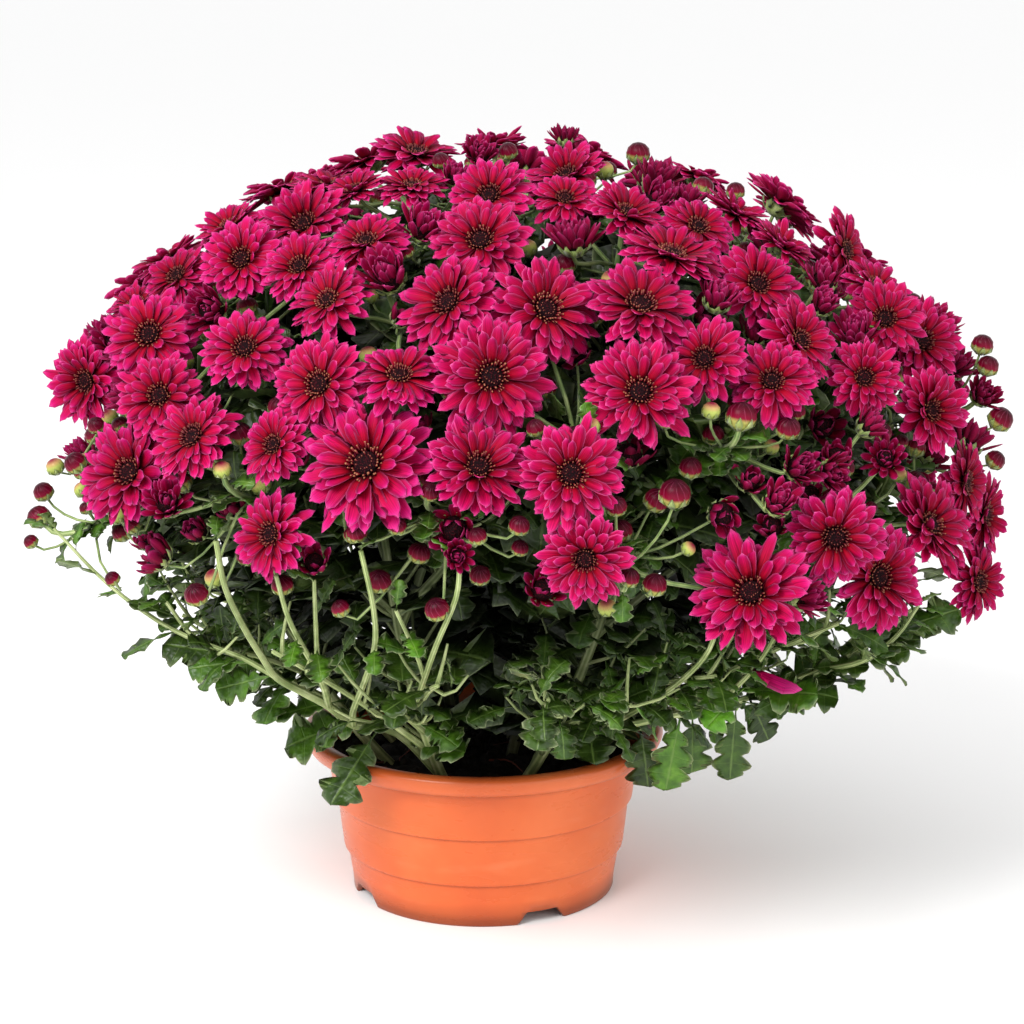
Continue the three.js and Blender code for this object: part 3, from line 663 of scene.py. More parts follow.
# Closed bud: petal backs wrapped edge to edge, deep wine red with faint pink seams and a waxy gloss, yellow
# green at the foot. An unripe one is green up to its tip. tone: how unripe it is comes second.
def budFinish():
    material, add = newFinish("WrappedBudPetal", Roughness=0.3, Specular_IOR_Level=0.1)
    u, v, _ = carried(add, "place")
    unripe = carried(add, "tone")[1]
    turned = add("Math", {0: v, 1: 0.1, 2: u}, operation="MULTIPLY_ADD")
    petals = add("Math", {0: turned, 1: 12.0}, operation="MULTIPLY")
    seam = add("Math", {0: petals}, operation="FRACT")
    seam = add("Math", {0: seam, 1: 0.5}, operation="SUBTRACT")
    seam = add("Math", {0: seam}, operation="ABSOLUTE")
    seam = add("MapRange", {"Value": seam, "From Min": 0.38, "From Max": 0.5})
    body = add("ValToRGB", {0: v}, stops=[
        (0.0, "98a44c"), (0.36, "a8a456"), (0.5, "780828"), (0.75, "54021a"), (1.0, "2c020e")])
    faint = add("Math", {0: seam, 1: 0.16}, operation="MULTIPLY")
    body = add("Mix", {0: faint, 6: body, 7: linear("d8608c")}, **colours)
    green = add("ValToRGB", {0: v}, stops=[
        (0.0, "86984a"), (0.6, "aab65c"), (0.82, "b89460"), (1.0, "84203a")])
    body = add("Mix", {0: unripe, 6: body, 7: green}, **colours)
    # Painted shade: the bud darkens towards 16060a deep in the bush, by its shelter.
    return finished(material, paintedDepthShade(add, body, "16060a", 0.5), seam, 0.35, 0.6, invert=True)


# Ribs along a stem over a soft mottle: depth times sin(2 pi count u), plus noise.
def ribbed(add, count, depth, perMm, detail):
    u = carried(add, "place")[0]
    turn = add("Math", {0: u, 1: 2 * pi * count}, operation="MULTIPLY")
    ribs = add("Math", {0: turn}, operation="SINE")
    where = add("TexCoord", {}, "Object")
    mottle = add("TexNoise", {"Vector": where, "Scale": perMm / mm, "Detail": detail})
    return add("Math", {0: ribs, 1: depth, 2: mottle}, operation="MULTIPLY_ADD")


# Tender green of cups and flower stalks: juicy tissue under a fine down, paler along its ribs, with a
# mottle 8 mm wide. tone: how yellow it is comes second.
def stalkFinish():
    material, add = newFinish("DownyFlowerStalk", Roughness=0.5, Specular_IOR_Level=0.4, Sheen_Weight=0.2)
    shade = ribbed(add, 5, 0.14, 0.12, 3.0)
    body = add("ValToRGB", {0: shade}, stops=[(0.25, "4c6a34"), (0.5, "7c9450"), (0.8, "b0bc80")])
    yellow = add("Math", {0: carried(add, "tone")[1], 1: 0.5}, operation="MULTIPLY")
    body = add("Mix", {0: yellow, 6: body, 7: linear("b8c060")}, **colours)
    # Painted shade: the stalk darkens towards 10180a deep in the bush, by its shelter.
    return finished(material, paintedDepthShade(add, body, "10180a", 0.75), shade, 0.4, 0.5)


# Main stems: firm ribbed green, going tan and woody towards the soil, with a mottle 11 mm wide. tone: how
# woody its foot is comes second.
def stemFinish():
    material, add = newFinish("RibbedWoodyStem", Roughness=0.6, Specular_IOR_Level=0.35)
    shade = ribbed(add, 6, 0.2, 0.09, 4.0)
    green = add("ValToRGB", {0: shade}, stops=[(0.25, "74864c"), (0.5, "9cab6c"), (0.85, "c6ce9a")])
    woody = add("ValToRGB", {0: shade}, stops=[(0.25, "4a4028"), (0.5, "7c7048"), (0.85, "a89a70")])
    age = add("MapRange", {"Value": carried(add, "place")[1], "From Min": 0.3, "From Max": 0.0})
    age = add("Math", {0: age, 1: carried(add, "tone")[1]}, operation="MULTIPLY")
    body = add("Mix", {0: age, 6: green, 7: woody}, **colours)
    # Painted shade: the stem darkens towards 10180a deep in the bush, by its shelter.
    return finished(material, paintedDepthShade(add, body, "10180a", 0.75), shade, 0.5, 0.8)


# Chrysanthemum leaf: leathery dark green, slightly glossy above with pale sunken veins, grey and downy
# below, blotched every 7 mm and crinkled every 2.4 mm, with a painted highlight along its edge and painted
# shade deep in the bush. tone: own shade, youth, and one kept free; the own shade is at random for most
# leaves, and painted light and shade for those set deep, in the crown or one by one.
def leafFinish():
    material, add = newFinish("LobedLeaf", Roughness=0.42, Specular_IOR_Level=0.4)
    u, v, side = carried(add, "place")
    shade, youth, _ = carried(add, "tone")
    where = add("TexCoord", {}, "Object")
    mottle = add("TexNoise", {"Vector": where, "Scale": 0.14 / mm, "Detail": 4.0})
    crinkle = add("TexVoronoi", {"Vector": where, "Scale": 0.42 / mm}, "Distance", feature="SMOOTH_F1")
    old = add("ValToRGB", {0: mottle}, stops=[(0.3, "1c3006"), (0.55, "334c10"), (0.8, "4c6a20")])
    fresh = add("ValToRGB", {0: mottle}, stops=[(0.3, "38660e"), (0.6, "5a901c"), (0.85, "84b23a")])
    body = add("Mix", {0: youth, 6: old, 7: fresh}, **colours)
    # Painted light and shade: the colour times 0.55 up to 1.5 by the leaf's own shade.
    light = add("MapRange", {"Value": shade, "To Min": 0.55, "To Max": 1.5})
    light = add("CombineColor", {0: light, 1: light, 2: light})
    body = add("Mix", {0: 1.0, 6: body, 7: light}, **colours, blend_type="MULTIPLY")
    across = add("Math", {0: u}, operation="ABSOLUTE")
    sideVeins = add("ValToRGB", {0: v}, stops=[
        (at + step, grey(value)) for at in (0.305, 0.535, 0.775)
        for step, value in ((-0.01, 0), (0, 1), (0.01, 0))])
    sideVeins = add("Math", {0: sideVeins, 1: 0.5}, operation="MULTIPLY")
    midVein = add("MapRange", {"Value": across, "From Min": 0.09, "From Max": 0.02})
    veins = add("Math", {0: midVein, 1: sideVeins}, operation="MAXIMUM")
    pale = add("Math", {0: veins, 1: 0.42}, operation="MULTIPLY")
    body = add("Mix", {0: pale, 6: body, 7: linear("7c984c")}, **colours)
    # A painted highlight along the edge, dimmed on leaves given a low own shade.
    most = add("Math", {0: shade, 1: 1.8}, operation="MULTIPLY")  # leaves in the dark have duller edges
    most = add("Math", {0: most, 1: 0.85}, operation="MINIMUM")
    edge = add("Math", {0: across, 1: 11.0}, operation="POWER")
    edge = add("Math", {0: edge, 1: most}, operation="MULTIPLY")
    body = add("Mix", {0: edge, 6: body, 7: linear("c4d09c")}, **colours)
    under = add("Math", {0: side, 1: -0.05}, operation="LESS_THAN")
    back = add("Mix", {0: veins, 6: linear("5c7038"), 7: linear("8a9a60")}, **colours)
    body = add("Mix", {0: under, 6: body, 7: back}, **colours)
    relief = add("Math", {0: veins, 1: -0.6, 2: crinkle}, operation="MULTIPLY_ADD")
    # Painted shade: the leaf darkens towards 060b04 deep in the bush, by its shelter.
    return finished(material, paintedDepthShade(add, body, "060b04", 0.85), relief, 0.45, 1.2)


# Moulded polypropylene: even orange with a satin gloss, clouds 70 mm wide, flow marks and rubbed paler
# scuffs of 33 x 9 mm, painted shade in the creases under each band and under the lip with a painted
# highlight just above each step, darker again over the lip's top, and painted shade under the floor and
# round the standing ring.
def potFinish():
    material, add = newFinish("MouldedPolypropylene", IOR=1.49, Specular_IOR_Level=0.4)
    where = add("TexCoord", {}, "Object")
    clouds = add("TexNoise", {"Vector": where, "Scale": 0.014 / mm, "Detail": 4.0})
    stretch = add("Mapping", {"Vector": where, "Scale": (0.03 / mm, 0.03 / mm, 0.11 / mm)})
    marks = add("TexNoise", {"Vector": stretch, "Scale": 1.0, "Detail": 5.0})
    body = add("ValToRGB", {0: clouds}, stops=[(0.3, "ca592b"), (0.5, "d66431"), (0.72, "e0723e")])
    scuffs = add("MapRange", {"Value": marks, "From Min": 0.58, "From Max": 0.8, "To Max": 0.22})
    body = add("Mix", {0: scuffs, 6: body, 7: linear("f0966a")}, **colours)
    height = add("Math", {0: add("SeparateXYZ", {0: where}, "Z"), 1: 0.01 / mm}, operation="MULTIPLY")
    # Painted shade and highlight: darker lines under each band's step and under the lip, a lighter line
    # just above each step, and darker again over the lip's top.
    paintedBandShading = add("ValToRGB", {0: height}, stops=[  # (mm above the floor, brightness), up to 100 mm
        (up / 100, grey(value)) for up, value in (
            (22.6, 1), (24.1, 0.78), (24.7, 1.08), (26.2, 1), (50.2, 1), (51.6, 0.78), (52.4, 1.08),
            (54, 1), (76, 1), (79, 0.66), (81.5, 0.8), (83.5, 0.96), (90.5, 0.8))])
    body = add("Mix", {0: 1.0, 6: body, 7: paintedBandShading}, **colours, blend_type="MULTIPLY")
    # Painted shade: darker over the profile's first rows, under the floor and round the standing ring.
    paintedFootShade = add("ValToRGB", {0: carried(add, "place")[1]}, stops=[(0.21, grey(0.42)), (0.25, grey(1))])
    body = add("Mix", {0: 1.0, 6: body, 7: paintedFootShade}, **colours, blend_type="MULTIPLY")
    gloss = add("MapRange", {"Value": marks, "To Min": 0.18, "To Max": 0.4})
    shader = material.node_tree.nodes["Principled BSDF"]
    material.node_tree.links.new(gloss, shader.inputs["Roughness"])
    return finished(material, body, marks, 0.1, 0.4)


# Moist potting mix: near-black peat fibres with brown bark flecks, 4 mm wide.
def soilFinish():
    material, add = newFinish("MoistPeatMix", Roughness=0.85, Specular_IOR_Level=0.25)
    where = add("TexCoord", {}, "Object")
    grain = add("TexNoise", {"Vector": where, "Scale": 0.26 / mm, "Detail": 6.0, "Roughness": 0.7})
    body = add("ValToRGB", {0: grain}, stops=[(0.35, "0c0908"), (0.55, "1c1410"), (0.75, "3a2818")])
    return finished(material, body, grain, 0.9, 3.0)


# Dry reddish roots and bark threads on the soil. tone: own shade comes first.
def rootFinish():
    material, add = newFinish("DryRootThread", Roughness=0.7)
    return finished(material, add("ValToRGB", {0: carried(add, "tone")[0]}, stops=[
        (0.0, "3a140e"), (1.0, "7a3420")]))


finishes = {"petal": petalFinish(), "disc": discFinish(), "floret": floretFinish(), "bud": budFinish(),
            "stalk": stalkFinish(), "stem": stemFinish(), "leaf": leafFinish(), "pot": potFinish(),
            "soil": soilFinish(), "root": rootFinish()}
print("finishes made:", len(finishes))

# Flower heads: petals widen to two thirds of their length and close to a blunt tip.
petalAlong = np.array([0, 0.35, 0.68, 0.89, 1])
petalWidths = np.array([0.45, 0.86, 1, 0.76, 0.2])
petalSheet = bladeSheet([-1, -0.5, 0, 0.5, 1], petalAlong)
strapSheet = bladeSheet([-1, 0, 1], petalAlong)
scaleSheet = bladeSheet([-1, 0, 1], [0, 0.6, 1])
petal = {"thick": 0.45, "cup": 0.34, "tipRound": 0.04, "notch": 0.0, "keel": 0.3, "full": 1.1,
         "thinUnder": 12, "fineRows": 2, "fewerBehind": 4, "widerBehind": 1.2, "innerDarker": 0.07}
# How much heads and petals differ: open, rise and curl in degrees, spin and twist in radians, the others in
# shares. With a notch of 0 the tips stay whole.
petalStray = {"open": 6, "spin": 0.085, "size": 0.075, "width": 0.08, "rise": 7, "curl": 13, "cup": 0.4,
              "notch": 1.6, "twist": 0.25, "warmth": 0.12}

# Each row of petals: how many, length, rise and curl in degrees, start radius and height, half-width, all
# sizes in radii of the head.
petalRows = {
    "open": [
        (19, 0.88, 1, -8, 0.2, -0.05, 0.14), (18, 0.83, 11, -12, 0.21, -0.02, 0.136),
        (16, 0.7, 21, -14, 0.22, 0.01, 0.126), (13, 0.52, 34, -8, 0.22, 0.03, 0.105),
    ],
    "half": [
        (12, 1.35, 42, 24, 0.24, -0.56, 0.2), (11, 1.28, 54, 28, 0.2, -0.5, 0.19),
        (9, 1.12, 66, 30, 0.16, -0.45, 0.17), (7, 0.9, 78, 28, 0.12, -0.4, 0.15),
    ],
    "young": [(8, 1.6, 24, 66, 0.26, -0.64, 0.34), (6, 1.35, 42, 64, 0.2, -0.56, 0.32)],
}
headTone = {"open": (0.0, 0.12), "half": (0.3, 0.6), "young": (0.35, 0.7)}  # how dark, least and most
headWarmth = {"middle": 0.42, "toRight": 0.0012, "stray": 0.22}  # from magenta, 0, to crimson, 1


# Directions round an axis: cos(spin) times one direction square to it plus sin(spin) times the other.
def spokes(axis, spin):
    first, second = squareTo(axis)
    return np.cos(spin)[:, None] * first + np.sin(spin)[:, None] * second


# A petal's outline: half-width by a table along it, its end rounded back towards the edges and notched in
# the middle. It lifts off its middle line by cup u^2, and its back sags to a keel.
def petalShape(sheet, width, size, cup, notch):
    u, v, side = sheet["u"], sheet["v"], sheet["side"]
    outline = np.interp(v, petalAlong, petalWidths)
    across = width[:, None] * (u * outline)
    s = v - petal["tipRound"] * u * u * v ** 6 - notch[:, None] * np.exp(-(u / 0.4) ** 2) * v ** 12
    swell = cup[:, None] * width[:, None] * np.sin(pi * np.clip(v, 0.12, 0.88))
    thick = petal["thick"] / 2 * np.minimum(1, size[:, None] / petal["thinUnder"])
    keel = (side < 0) * petal["keel"] * np.abs(swell)
    return s, across, swell * u * u + side * thick - keel


# Rows of petals round a head, each turned by half a step against the last. Every size and angle is the
# row's own times, or plus, a normal draw. Heads go from magenta to crimson from the left to the right.
def addPetals(piece, head, random):
    kind, facing = head["kind"], head["facing"]
    radius = head["width"] / 2 * (petal["full"] if kind == "open" else 1)
    darkness = between(*headTone[kind], random.random())
    warmth = headWarmth["middle"] + headWarmth["toRight"] * head["point"][0]
    warmth = warmth + random.normal(0, headWarmth["stray"])
    openness = random.normal(0, petalStray["open"])
    for row, (count, size, rise, curl, start, height, width) in enumerate(petalRows[kind]):
        if kind == "open" and not head["front"]:
            count = count - petal["fewerBehind"]
            width = width * petal["widerBehind"]
        fine = head["front"] and kind == "open" and row < petal["fineRows"]
        sheet = petalSheet if fine else strapSheet
        spin = (np.arange(count) + 0.5 * row) * 2 * pi / count + head["turn"]
        out = spokes(facing, spin + random.normal(0, petalStray["spin"], count))
        up = np.broadcast_to(facing, out.shape)
        base = head["point"] + (out * start + up * height) * radius
        sizes = size * radius * (1 + random.normal(0, petalStray["size"], count))
        widths = width * radius * (1 + random.normal(0, petalStray["width"], count))
        rises = np.radians(rise + openness + random.normal(0, petalStray["rise"], count))
        curls = np.radians(curl + random.normal(0, petalStray["curl"], count))
        cups = petal["cup"] * (1 + random.normal(0, petalStray["cup"], count))
        notches = petal["notch"] * random.uniform(0, petalStray["notch"], count)
        twists = random.normal(0, petalStray["twist"], count)
        s, across, lift = petalShape(sheet, widths, sizes, cups, notches)
        points = layBlades(base, out, up, sizes, s, across, lift, rises, curls, twists)
        dark = np.clip(darkness + petal["innerDarker"] * (row - 1) * (kind == "open"), 0, 1)
        warm = np.clip(warmth + random.normal(0, petalStray["warmth"], count), 0, 1)
        tone = np.stack([warm, np.full(count, dark), random.random(count)], -1)
        addShape(piece, points, sheet["faces"], "petal", sheet["place"], tone)


# The disc's rings of florets: how many, reach and height in radii of the head, lean in degrees, and how
# ripe they are. Each ring leans out a little more than the one inside it.
floretRings = [
    {"count": 26, "reach": 0.25, "lean": 50, "tall": 0.12, "ripe": 0.95},
    {"count": 22, "reach": 0.2, "lean": 64, "tall": 0.12, "ripe": 0.7},
    {"count": 14, "reach": 0.12, "lean": 78, "tall": 0.1, "ripe": 0.2},
]
disc = {"dome": [(0.05, -0.12), (0.25, -0.02), (0.2, 0.09), (0.06, 0.11)],
        "floret": [(0.14, 0), (0.13, 1.0)], "ripeness": (0.15, 1), "foot": 0.03}
floretStray = {"spin": 0.08, "lean": 7, "tall": 0.15, "unripe": 0.3}


# A low turned dome with rings of short tubes, whose heading is cos(lean) outwards and sin(lean) up.
def addDisc(piece, head, random):
    radius = np.array([head["width"] / 2])
    facing = head["facing"]
    tone = np.array([[random.random(), 0.0, 0.0]])
    addTurned(piece, head["point"][None], facing[None], radius, disc["dome"], sides["disc"], "disc", tone)
    ripeness = random.uniform(*disc["ripeness"])
    for ring in floretRings:
        count = ring["count"]
        spin = np.arange(count) * 2 * pi / count + random.normal(0, floretStray["spin"], count)
        out = spokes(facing, spin)
        lean = np.radians(ring["lean"] + random.normal(0, floretStray["lean"], count))[:, None]
        heading = out * np.cos(lean) + facing * np.sin(lean)
        base = head["point"] + (out * ring["reach"] + facing * disc["foot"]) * radius
        tall = ring["tall"] * radius * (1 + random.normal(0, floretStray["tall"], count))
        unripe = 1 - ring["ripe"] * ripeness - random.uniform(0, floretStray["unripe"], count)
        tone = np.stack([random.random(count), np.clip(unripe, 0, 1), np.zeros(count)], -1)
        addTurned(piece, base, heading, tall, disc["floret"], sides["floret"], "floret", tone)


# The green cup under a head, in radii of the head: a turned bowl, (radius, height), and a ring of pointed
# scales pressed against it, in the order of a row of petals.
cupProfiles = {
    "open": [(0.09, -0.34), (0.24, -0.28), (0.32, -0.14), (0.2, -0.05)],
    "half": [(0.14, -0.76), (0.36, -0.68), (0.5, -0.45), (0.3, -0.3)],
    "young": [(0.16, -0.8), (0.45, -0.7), (0.6, -0.4), (0.3, -0.3)],
}
scaleRows = {"open": (8, 0.3, 34, 18, 0.26, -0.26, 0.09), "half": (8, 0.62, 42, 34, 0.36, -0.66, 0.16),
             "young": (8, 0.8, 30, 50, 0.42, -0.72, 0.2), "bud": (8, 1.25, 20, 74, 0.34, -0.94, 0.27)}
greens = {"cupYellow": 0.35, "scaleYellow": (0.2, 0.8), "scaleHollow": -0.3}


# Scales are blades like petals, even ones, with a hollow side against the bowl.
def addCup(piece, head, random):
    radius = np.array([head["width"] / 2])
    kind, facing = head["kind"], head["facing"]
    if kind in cupProfiles:
        tone = np.array([[random.random(), greens["cupYellow"], 0.0]])
        bowl = cupProfiles[kind]
        addTurned(piece, head["point"][None], facing[None], radius, bowl, sides["cup"], "stalk", tone)
    count, size, rise, curl, start, height, width = scaleRows[kind]
    out = spokes(facing, np.arange(count) * 2 * pi / count + head["turn"])
    up = np.broadcast_to(facing, out.shape)
    base = head["point"] + (out * start + up * height) * radius
    whole = np.full(count, 1.0)
    sizes, widths = whole * size * radius, whole * width * radius
    s, across, lift = petalShape(scaleSheet, widths, sizes, whole * greens["scaleHollow"], whole * 0)
    rises, curls = np.radians(whole * rise), np.radians(whole * curl)
    points = layBlades(base, out, up, sizes, s, across, lift, rises, curls, whole * 0)
    tone = np.stack([random.random(count), random.uniform(*greens["scaleYellow"], count), whole], -1)
    addShape(piece, points, scaleSheet["faces"], "stalk", scaleSheet["place"], tone)


# The egg of a bud as (radius, height) in radii of the head, which buds are unripe, and the sizes of cores
bud = {"profile": [(0.3, -0.92), (0.8, -0.6), (1.0, -0.08), (0.88, 0.42), (0.55, 0.74), (0.2, 0.86)],
       "unripeUnder": 10.5, "unripeShare": 0.3, "coreDown": 0.15, "cores": {"half": 0.55, "young": 0.7}}


# A closed bud is one turned egg of wrapped petals. A wine-dark core closes a half-open head.
def addMiddle(piece, head, random):
    facing, radius = head["facing"], head["width"] / 2
    if head["kind"] == "bud":
        unripe = float(head["width"] < bud["unripeUnder"] and random.random() < bud["unripeShare"])
        tone = np.array([[random.random(), unripe, 0.0]])
        size = np.array([radius])
        addTurned(piece, head["point"][None], facing[None], size, bud["profile"], sides["bud"], "bud", tone)
    else:
        centre = head["point"] - facing * (bud["coreDown"] * radius)
        size = np.array([bud["cores"][head["kind"]] * radius])
        tone = np.array([[0.5, 0, 0]])
        addTurned(piece, centre[None], facing[None], size, bud["profile"], sides["core"], "disc", tone)


# Radii at the foot and tip of the central and the side stalks, and how firmly a stalk keeps its two lines
stalk = {"girth": (2.0, 1.35), "sideGirth": (1.25, 1.05), "smallGirth": 0.62, "steps": 9, "sideSteps": 6,
         "towards": 0.4, "seat": 0.4, "startPull": 0.35, "endPull": 0.3}


# A stalk leaves the one it grows on along its line and comes up under its head in the head's own line:
# (1 - t)^3 a + 3 t (1 - t)^2 b + 3 t^2 (1 - t) c + t^3 d, with b and c on those two lines.
def stalkPath(start, heading, neck, facing, steps):
    reach = np.linalg.norm(neck - start)
    t = np.linspace(0, 1, steps)[:, None]
    first = start + heading * reach * stalk["startPull"]
    second = neck - facing * reach * stalk["endPull"]
    return ((1 - t) ** 3 * start + 3 * t * (1 - t) ** 2 * first + 3 * t * t * (1 - t) * second
            + t ** 3 * neck)


# The spray's middle head stands on the central stalk, and each other one on a side stalk, that leaves the
# central one the lower, the farther out the head is. Gives the side stalks' feet and the central path.
def addStalks(piece, spray, random):
    members = spray["members"] + spray["young"]
    middle = neckOf(members[0])
    heading = unit(middle - spray["fork"])
    central = stalkPath(spray["fork"], heading, middle, members[0]["facing"], stalk["steps"])
    girth = np.linspace(*stalk["girth"], stalk["steps"])
    addTubes(piece, central[None], girth, sides["stalk"], "stalk", np.array([[0.5, 0.0, 0.0]]))
    starts = []
    for place, head in enumerate(members[1:], 1):
        share = between(*sprays["sideShares"], 1 - place / len(members))
        start, heading = onPath(central, share)
        neck = neckOf(head)
        heading = unit(heading + stalk["towards"] * unit(neck - start))
        seated = neck + head["facing"] * stalk["seat"]
        path = stalkPath(start, heading, seated, head["facing"], stalk["sideSteps"])
        small = stalk["smallGirth"] if head["kind"] in ("bud", "young") else 1
        girth = np.linspace(*stalk["sideGirth"], stalk["sideSteps"]) * small
        tone = np.array([[random.random(), 0.1, 0.0]])
        addTubes(piece, path[None], girth, sides["sideStalk"], "stalk", tone)
        starts.append((start, unit(neck - start)))
    return starts, central


# Leaves: the outline of the lobes with bays between them, as the share along and the half-width in lengths.
leafAlong = np.array([
    0, 0.13, 0.2, 0.225, 0.26, 0.3, 0.345, 0.38, 0.4, 0.425, 0.46, 0.51, 0.56,
    0.605, 0.635, 0.655, 0.68, 0.71, 0.76, 0.81, 0.85, 0.875, 0.9, 0.935, 0.97, 1])
leafWidths = np.array([
    0.018, 0.018, 0.03, 0.1, 0.165, 0.19, 0.185, 0.14, 0.105, 0.18, 0.27, 0.3, 0.3,
    0.27, 0.2, 0.16, 0.21, 0.28, 0.32, 0.31, 0.25, 0.21, 0.22, 0.21, 0.14, 0.03])
leafSheet = bladeSheet([-1, -0.55, 0, 0.55, 1], leafAlong)
middleSheet, coarseSheet, deepSheet = (bladeSheet([-1, 0, 1], leafAlong[rows]) for rows in (
    [0, 2, 4, 6, 8, 10, 12, 14, 16, 18, 20, 21, 23, 24, 25], [0, 2, 5, 8, 11, 15, 18, 22, 25],
    [0, 4, 11, 19, 25]))
# Thickness in millimetres, the others in shares of the leaf or in radians; ranges are least and most.
leaf = {"thick": 0.7, "sweep": 0.22, "fold": 0.16, "folds": (-0.6, 1.6), "wave": 0.035, "waves": 14,
        "waveTurn": 1.5, "teeth": 0.035, "toothTurns": 75, "plump": (0.7, 1.0), "blade": 0.9,
        "rise": (0.1, 0.12), "curl": (0.2, 1.1), "twist": 0.3, "youthStray": 0.12}
leafSet = {"overRim": 116, "droops": 0.25, "nearRim": 135, "outward": 0.3, "forwards": 0.3,
           "sizes": (0.85, 1.15)}
twig = {"girth": (1.2, 0.6), "within": 0.84, "upward": 0.15, "turnUp": 0.7, "forwards": 0.3,
        "sizes": (0.7, 1.2), "steps": 4}


# A lobed leaf: half-width by the table of its outline, its edge swept forwards by a share of the distance
# from the midrib, so that the lobes lean to the tip, folded up along the midrib and waved.
def addLeaves(piece, base, along, up, size, random, youth=0.0, sheet=leafSheet, shade=(0.0, 1.0),
              bend=leaf["curl"]):
    count = len(base)
    u, v, side = sheet["u"], sheet["v"], sheet["side"]
    outline = np.interp(v, leafAlong, leafWidths) * random.uniform(*leaf["plump"], (count, 1))
    teeth = 1 + leaf["teeth"] * np.sin(v * leaf["toothTurns"] + random.uniform(0, 6, (count, 1)))
    across = size[:, None] * u * outline * teeth
    s = v * leaf["blade"] + leaf["sweep"] * np.abs(across) / size[:, None] * (1 - v ** 3)
    turn = v * leaf["waves"] + random.uniform(0, 6, (count, 1)) + u * leaf["waveTurn"]
    wave = leaf["wave"] * np.sin(turn) * u * u
    fold = leaf["fold"] * random.uniform(*leaf["folds"], (count, 1)) * np.abs(across)
    lift = fold + wave * size[:, None] + side * leaf["thick"] / 2
    rise = random.normal(*leaf["rise"], count)
    curl = -random.uniform(*bend, count)
    twist = random.normal(0, leaf["twist"], count)
    points = layBlades(base, along, up, size, s, across, lift, rise, curl, twist)
    shades = random.uniform(*shade, count)
    youths = np.clip(youth + random.normal(0, leaf["youthStray"], count), 0, 1)
    tone = np.stack([shades, youths, random.random(count)], -1)
    addShape(piece, points, sheet["faces"], "leaf", sheet["place"], tone)


# Places at shares of a path's length, the path's directions there, and ways out from it that turn on by the
# golden angle from a random start.
def roundPath(path, shares, random):
    roots, slopes = onPath(path, shares)
    return roots, slopes, spokes(slopes, np.arange(len(roots)) * goldenTurn + random.uniform(0, 6))


# Side twigs leave a path at an angle, lean, and turn up halfway. They stay inside a share of the dome.
def twigsOn(path, first, count, reach, lean, random):
    roots, slopes, out = roundPath(path, np.linspace(first, 0.95, count), random)
    heading = unit(out * np.sin(lean) + slopes * np.cos(lean) + upward * twig["upward"])
    sizes = reach * random.uniform(*twig["sizes"], (count, 1))
    bends = roots + heading * sizes * 0.5
    ends = bends + unit(heading + upward * twig["turnUp"] + slopes * twig["forwards"]) * sizes * 0.5
    level = length((ends - dome["centre"]) / dome["size"])
    ends = dome["centre"] + (ends - dome["centre"]) * np.minimum(1, twig["within"] / level)
    return [bendThrough(*three, twig["steps"]) for three in zip(roots, bends, ends)]


# Leaves set round a path: each leans out by sin(lean) and forwards by cos(lean), and droops. One that
# would lie over the pot's rim is lifted clear of it.
def leavesOn(path, shares, sizes, lean, droop, random):
    roots, slopes, out = roundPath(path, shares, random)
    along = unit(out * np.sin(lean) + slopes * np.cos(lean) - upward * droop)
    sizes = sizes * random.uniform(*leafSet["sizes"], len(roots))
    tips = roots + along * sizes[:, None]
    clear = leafSet["overRim"] + leafSet["droops"] * sizes
    low = (tips[:, 2] < clear) & (length(tips[:, :2])[:, 0] < leafSet["nearRim"])
    along[low, 2] = (clear[low] - roots[low, 2]) / sizes[low]
    along = unit(along)
    outward = unit((roots - dome["centre"]) * np.array([1, 1, 0]))
    up = squared(upward + slopes * leafSet["forwards"] + outward * leafSet["outward"], along)
    return roots, along, up, sizes


# How far a head turns upright and at random, and the width from which it turns less
swing = {"upright": 0.1, "loose": 0.2, "wide": 50, "wideLoose": 0.35}


# A head turns a little from its stalk's line, wide ones less, and the high ones look up more.
def addHead(piece, head, random):
    if head["kind"] != "bud":
        high = max(domeNormal(head["point"])[2], 0)
        facing = head["facing"] - unit(eye - head["point"]) * swing["upright"] * high
        loose = swing["loose"] * (swing["wideLoose"] if head["width"] > swing["wide"] else 1)
        head = {**head, "facing": unit(facing + random.normal(0, loose, 3))}
    addCup(piece, head, random)
    if head["kind"] in petalRows:
        addPetals(piece, head, random)
    if head["kind"] == "open":
        addDisc(piece, head, random)
    else:
        addMiddle(piece, head, random)


# Which sprays carry leaves, by the way that they face, and how those leaves are set and sized
sprayLeaves = {"front": -0.25, "bareBehind": 0.35, "spread": 0.8, "sizes": (15, 26), "youth": 0.3,
               "belowTop": 0.75, "shares": (0.1, 0.85), "centralSizes": (30, 20), "count": 6, "lean": 0.9,
               "centralYouth": 0.15, "litYouth": 0.3, "litFrom": 30}


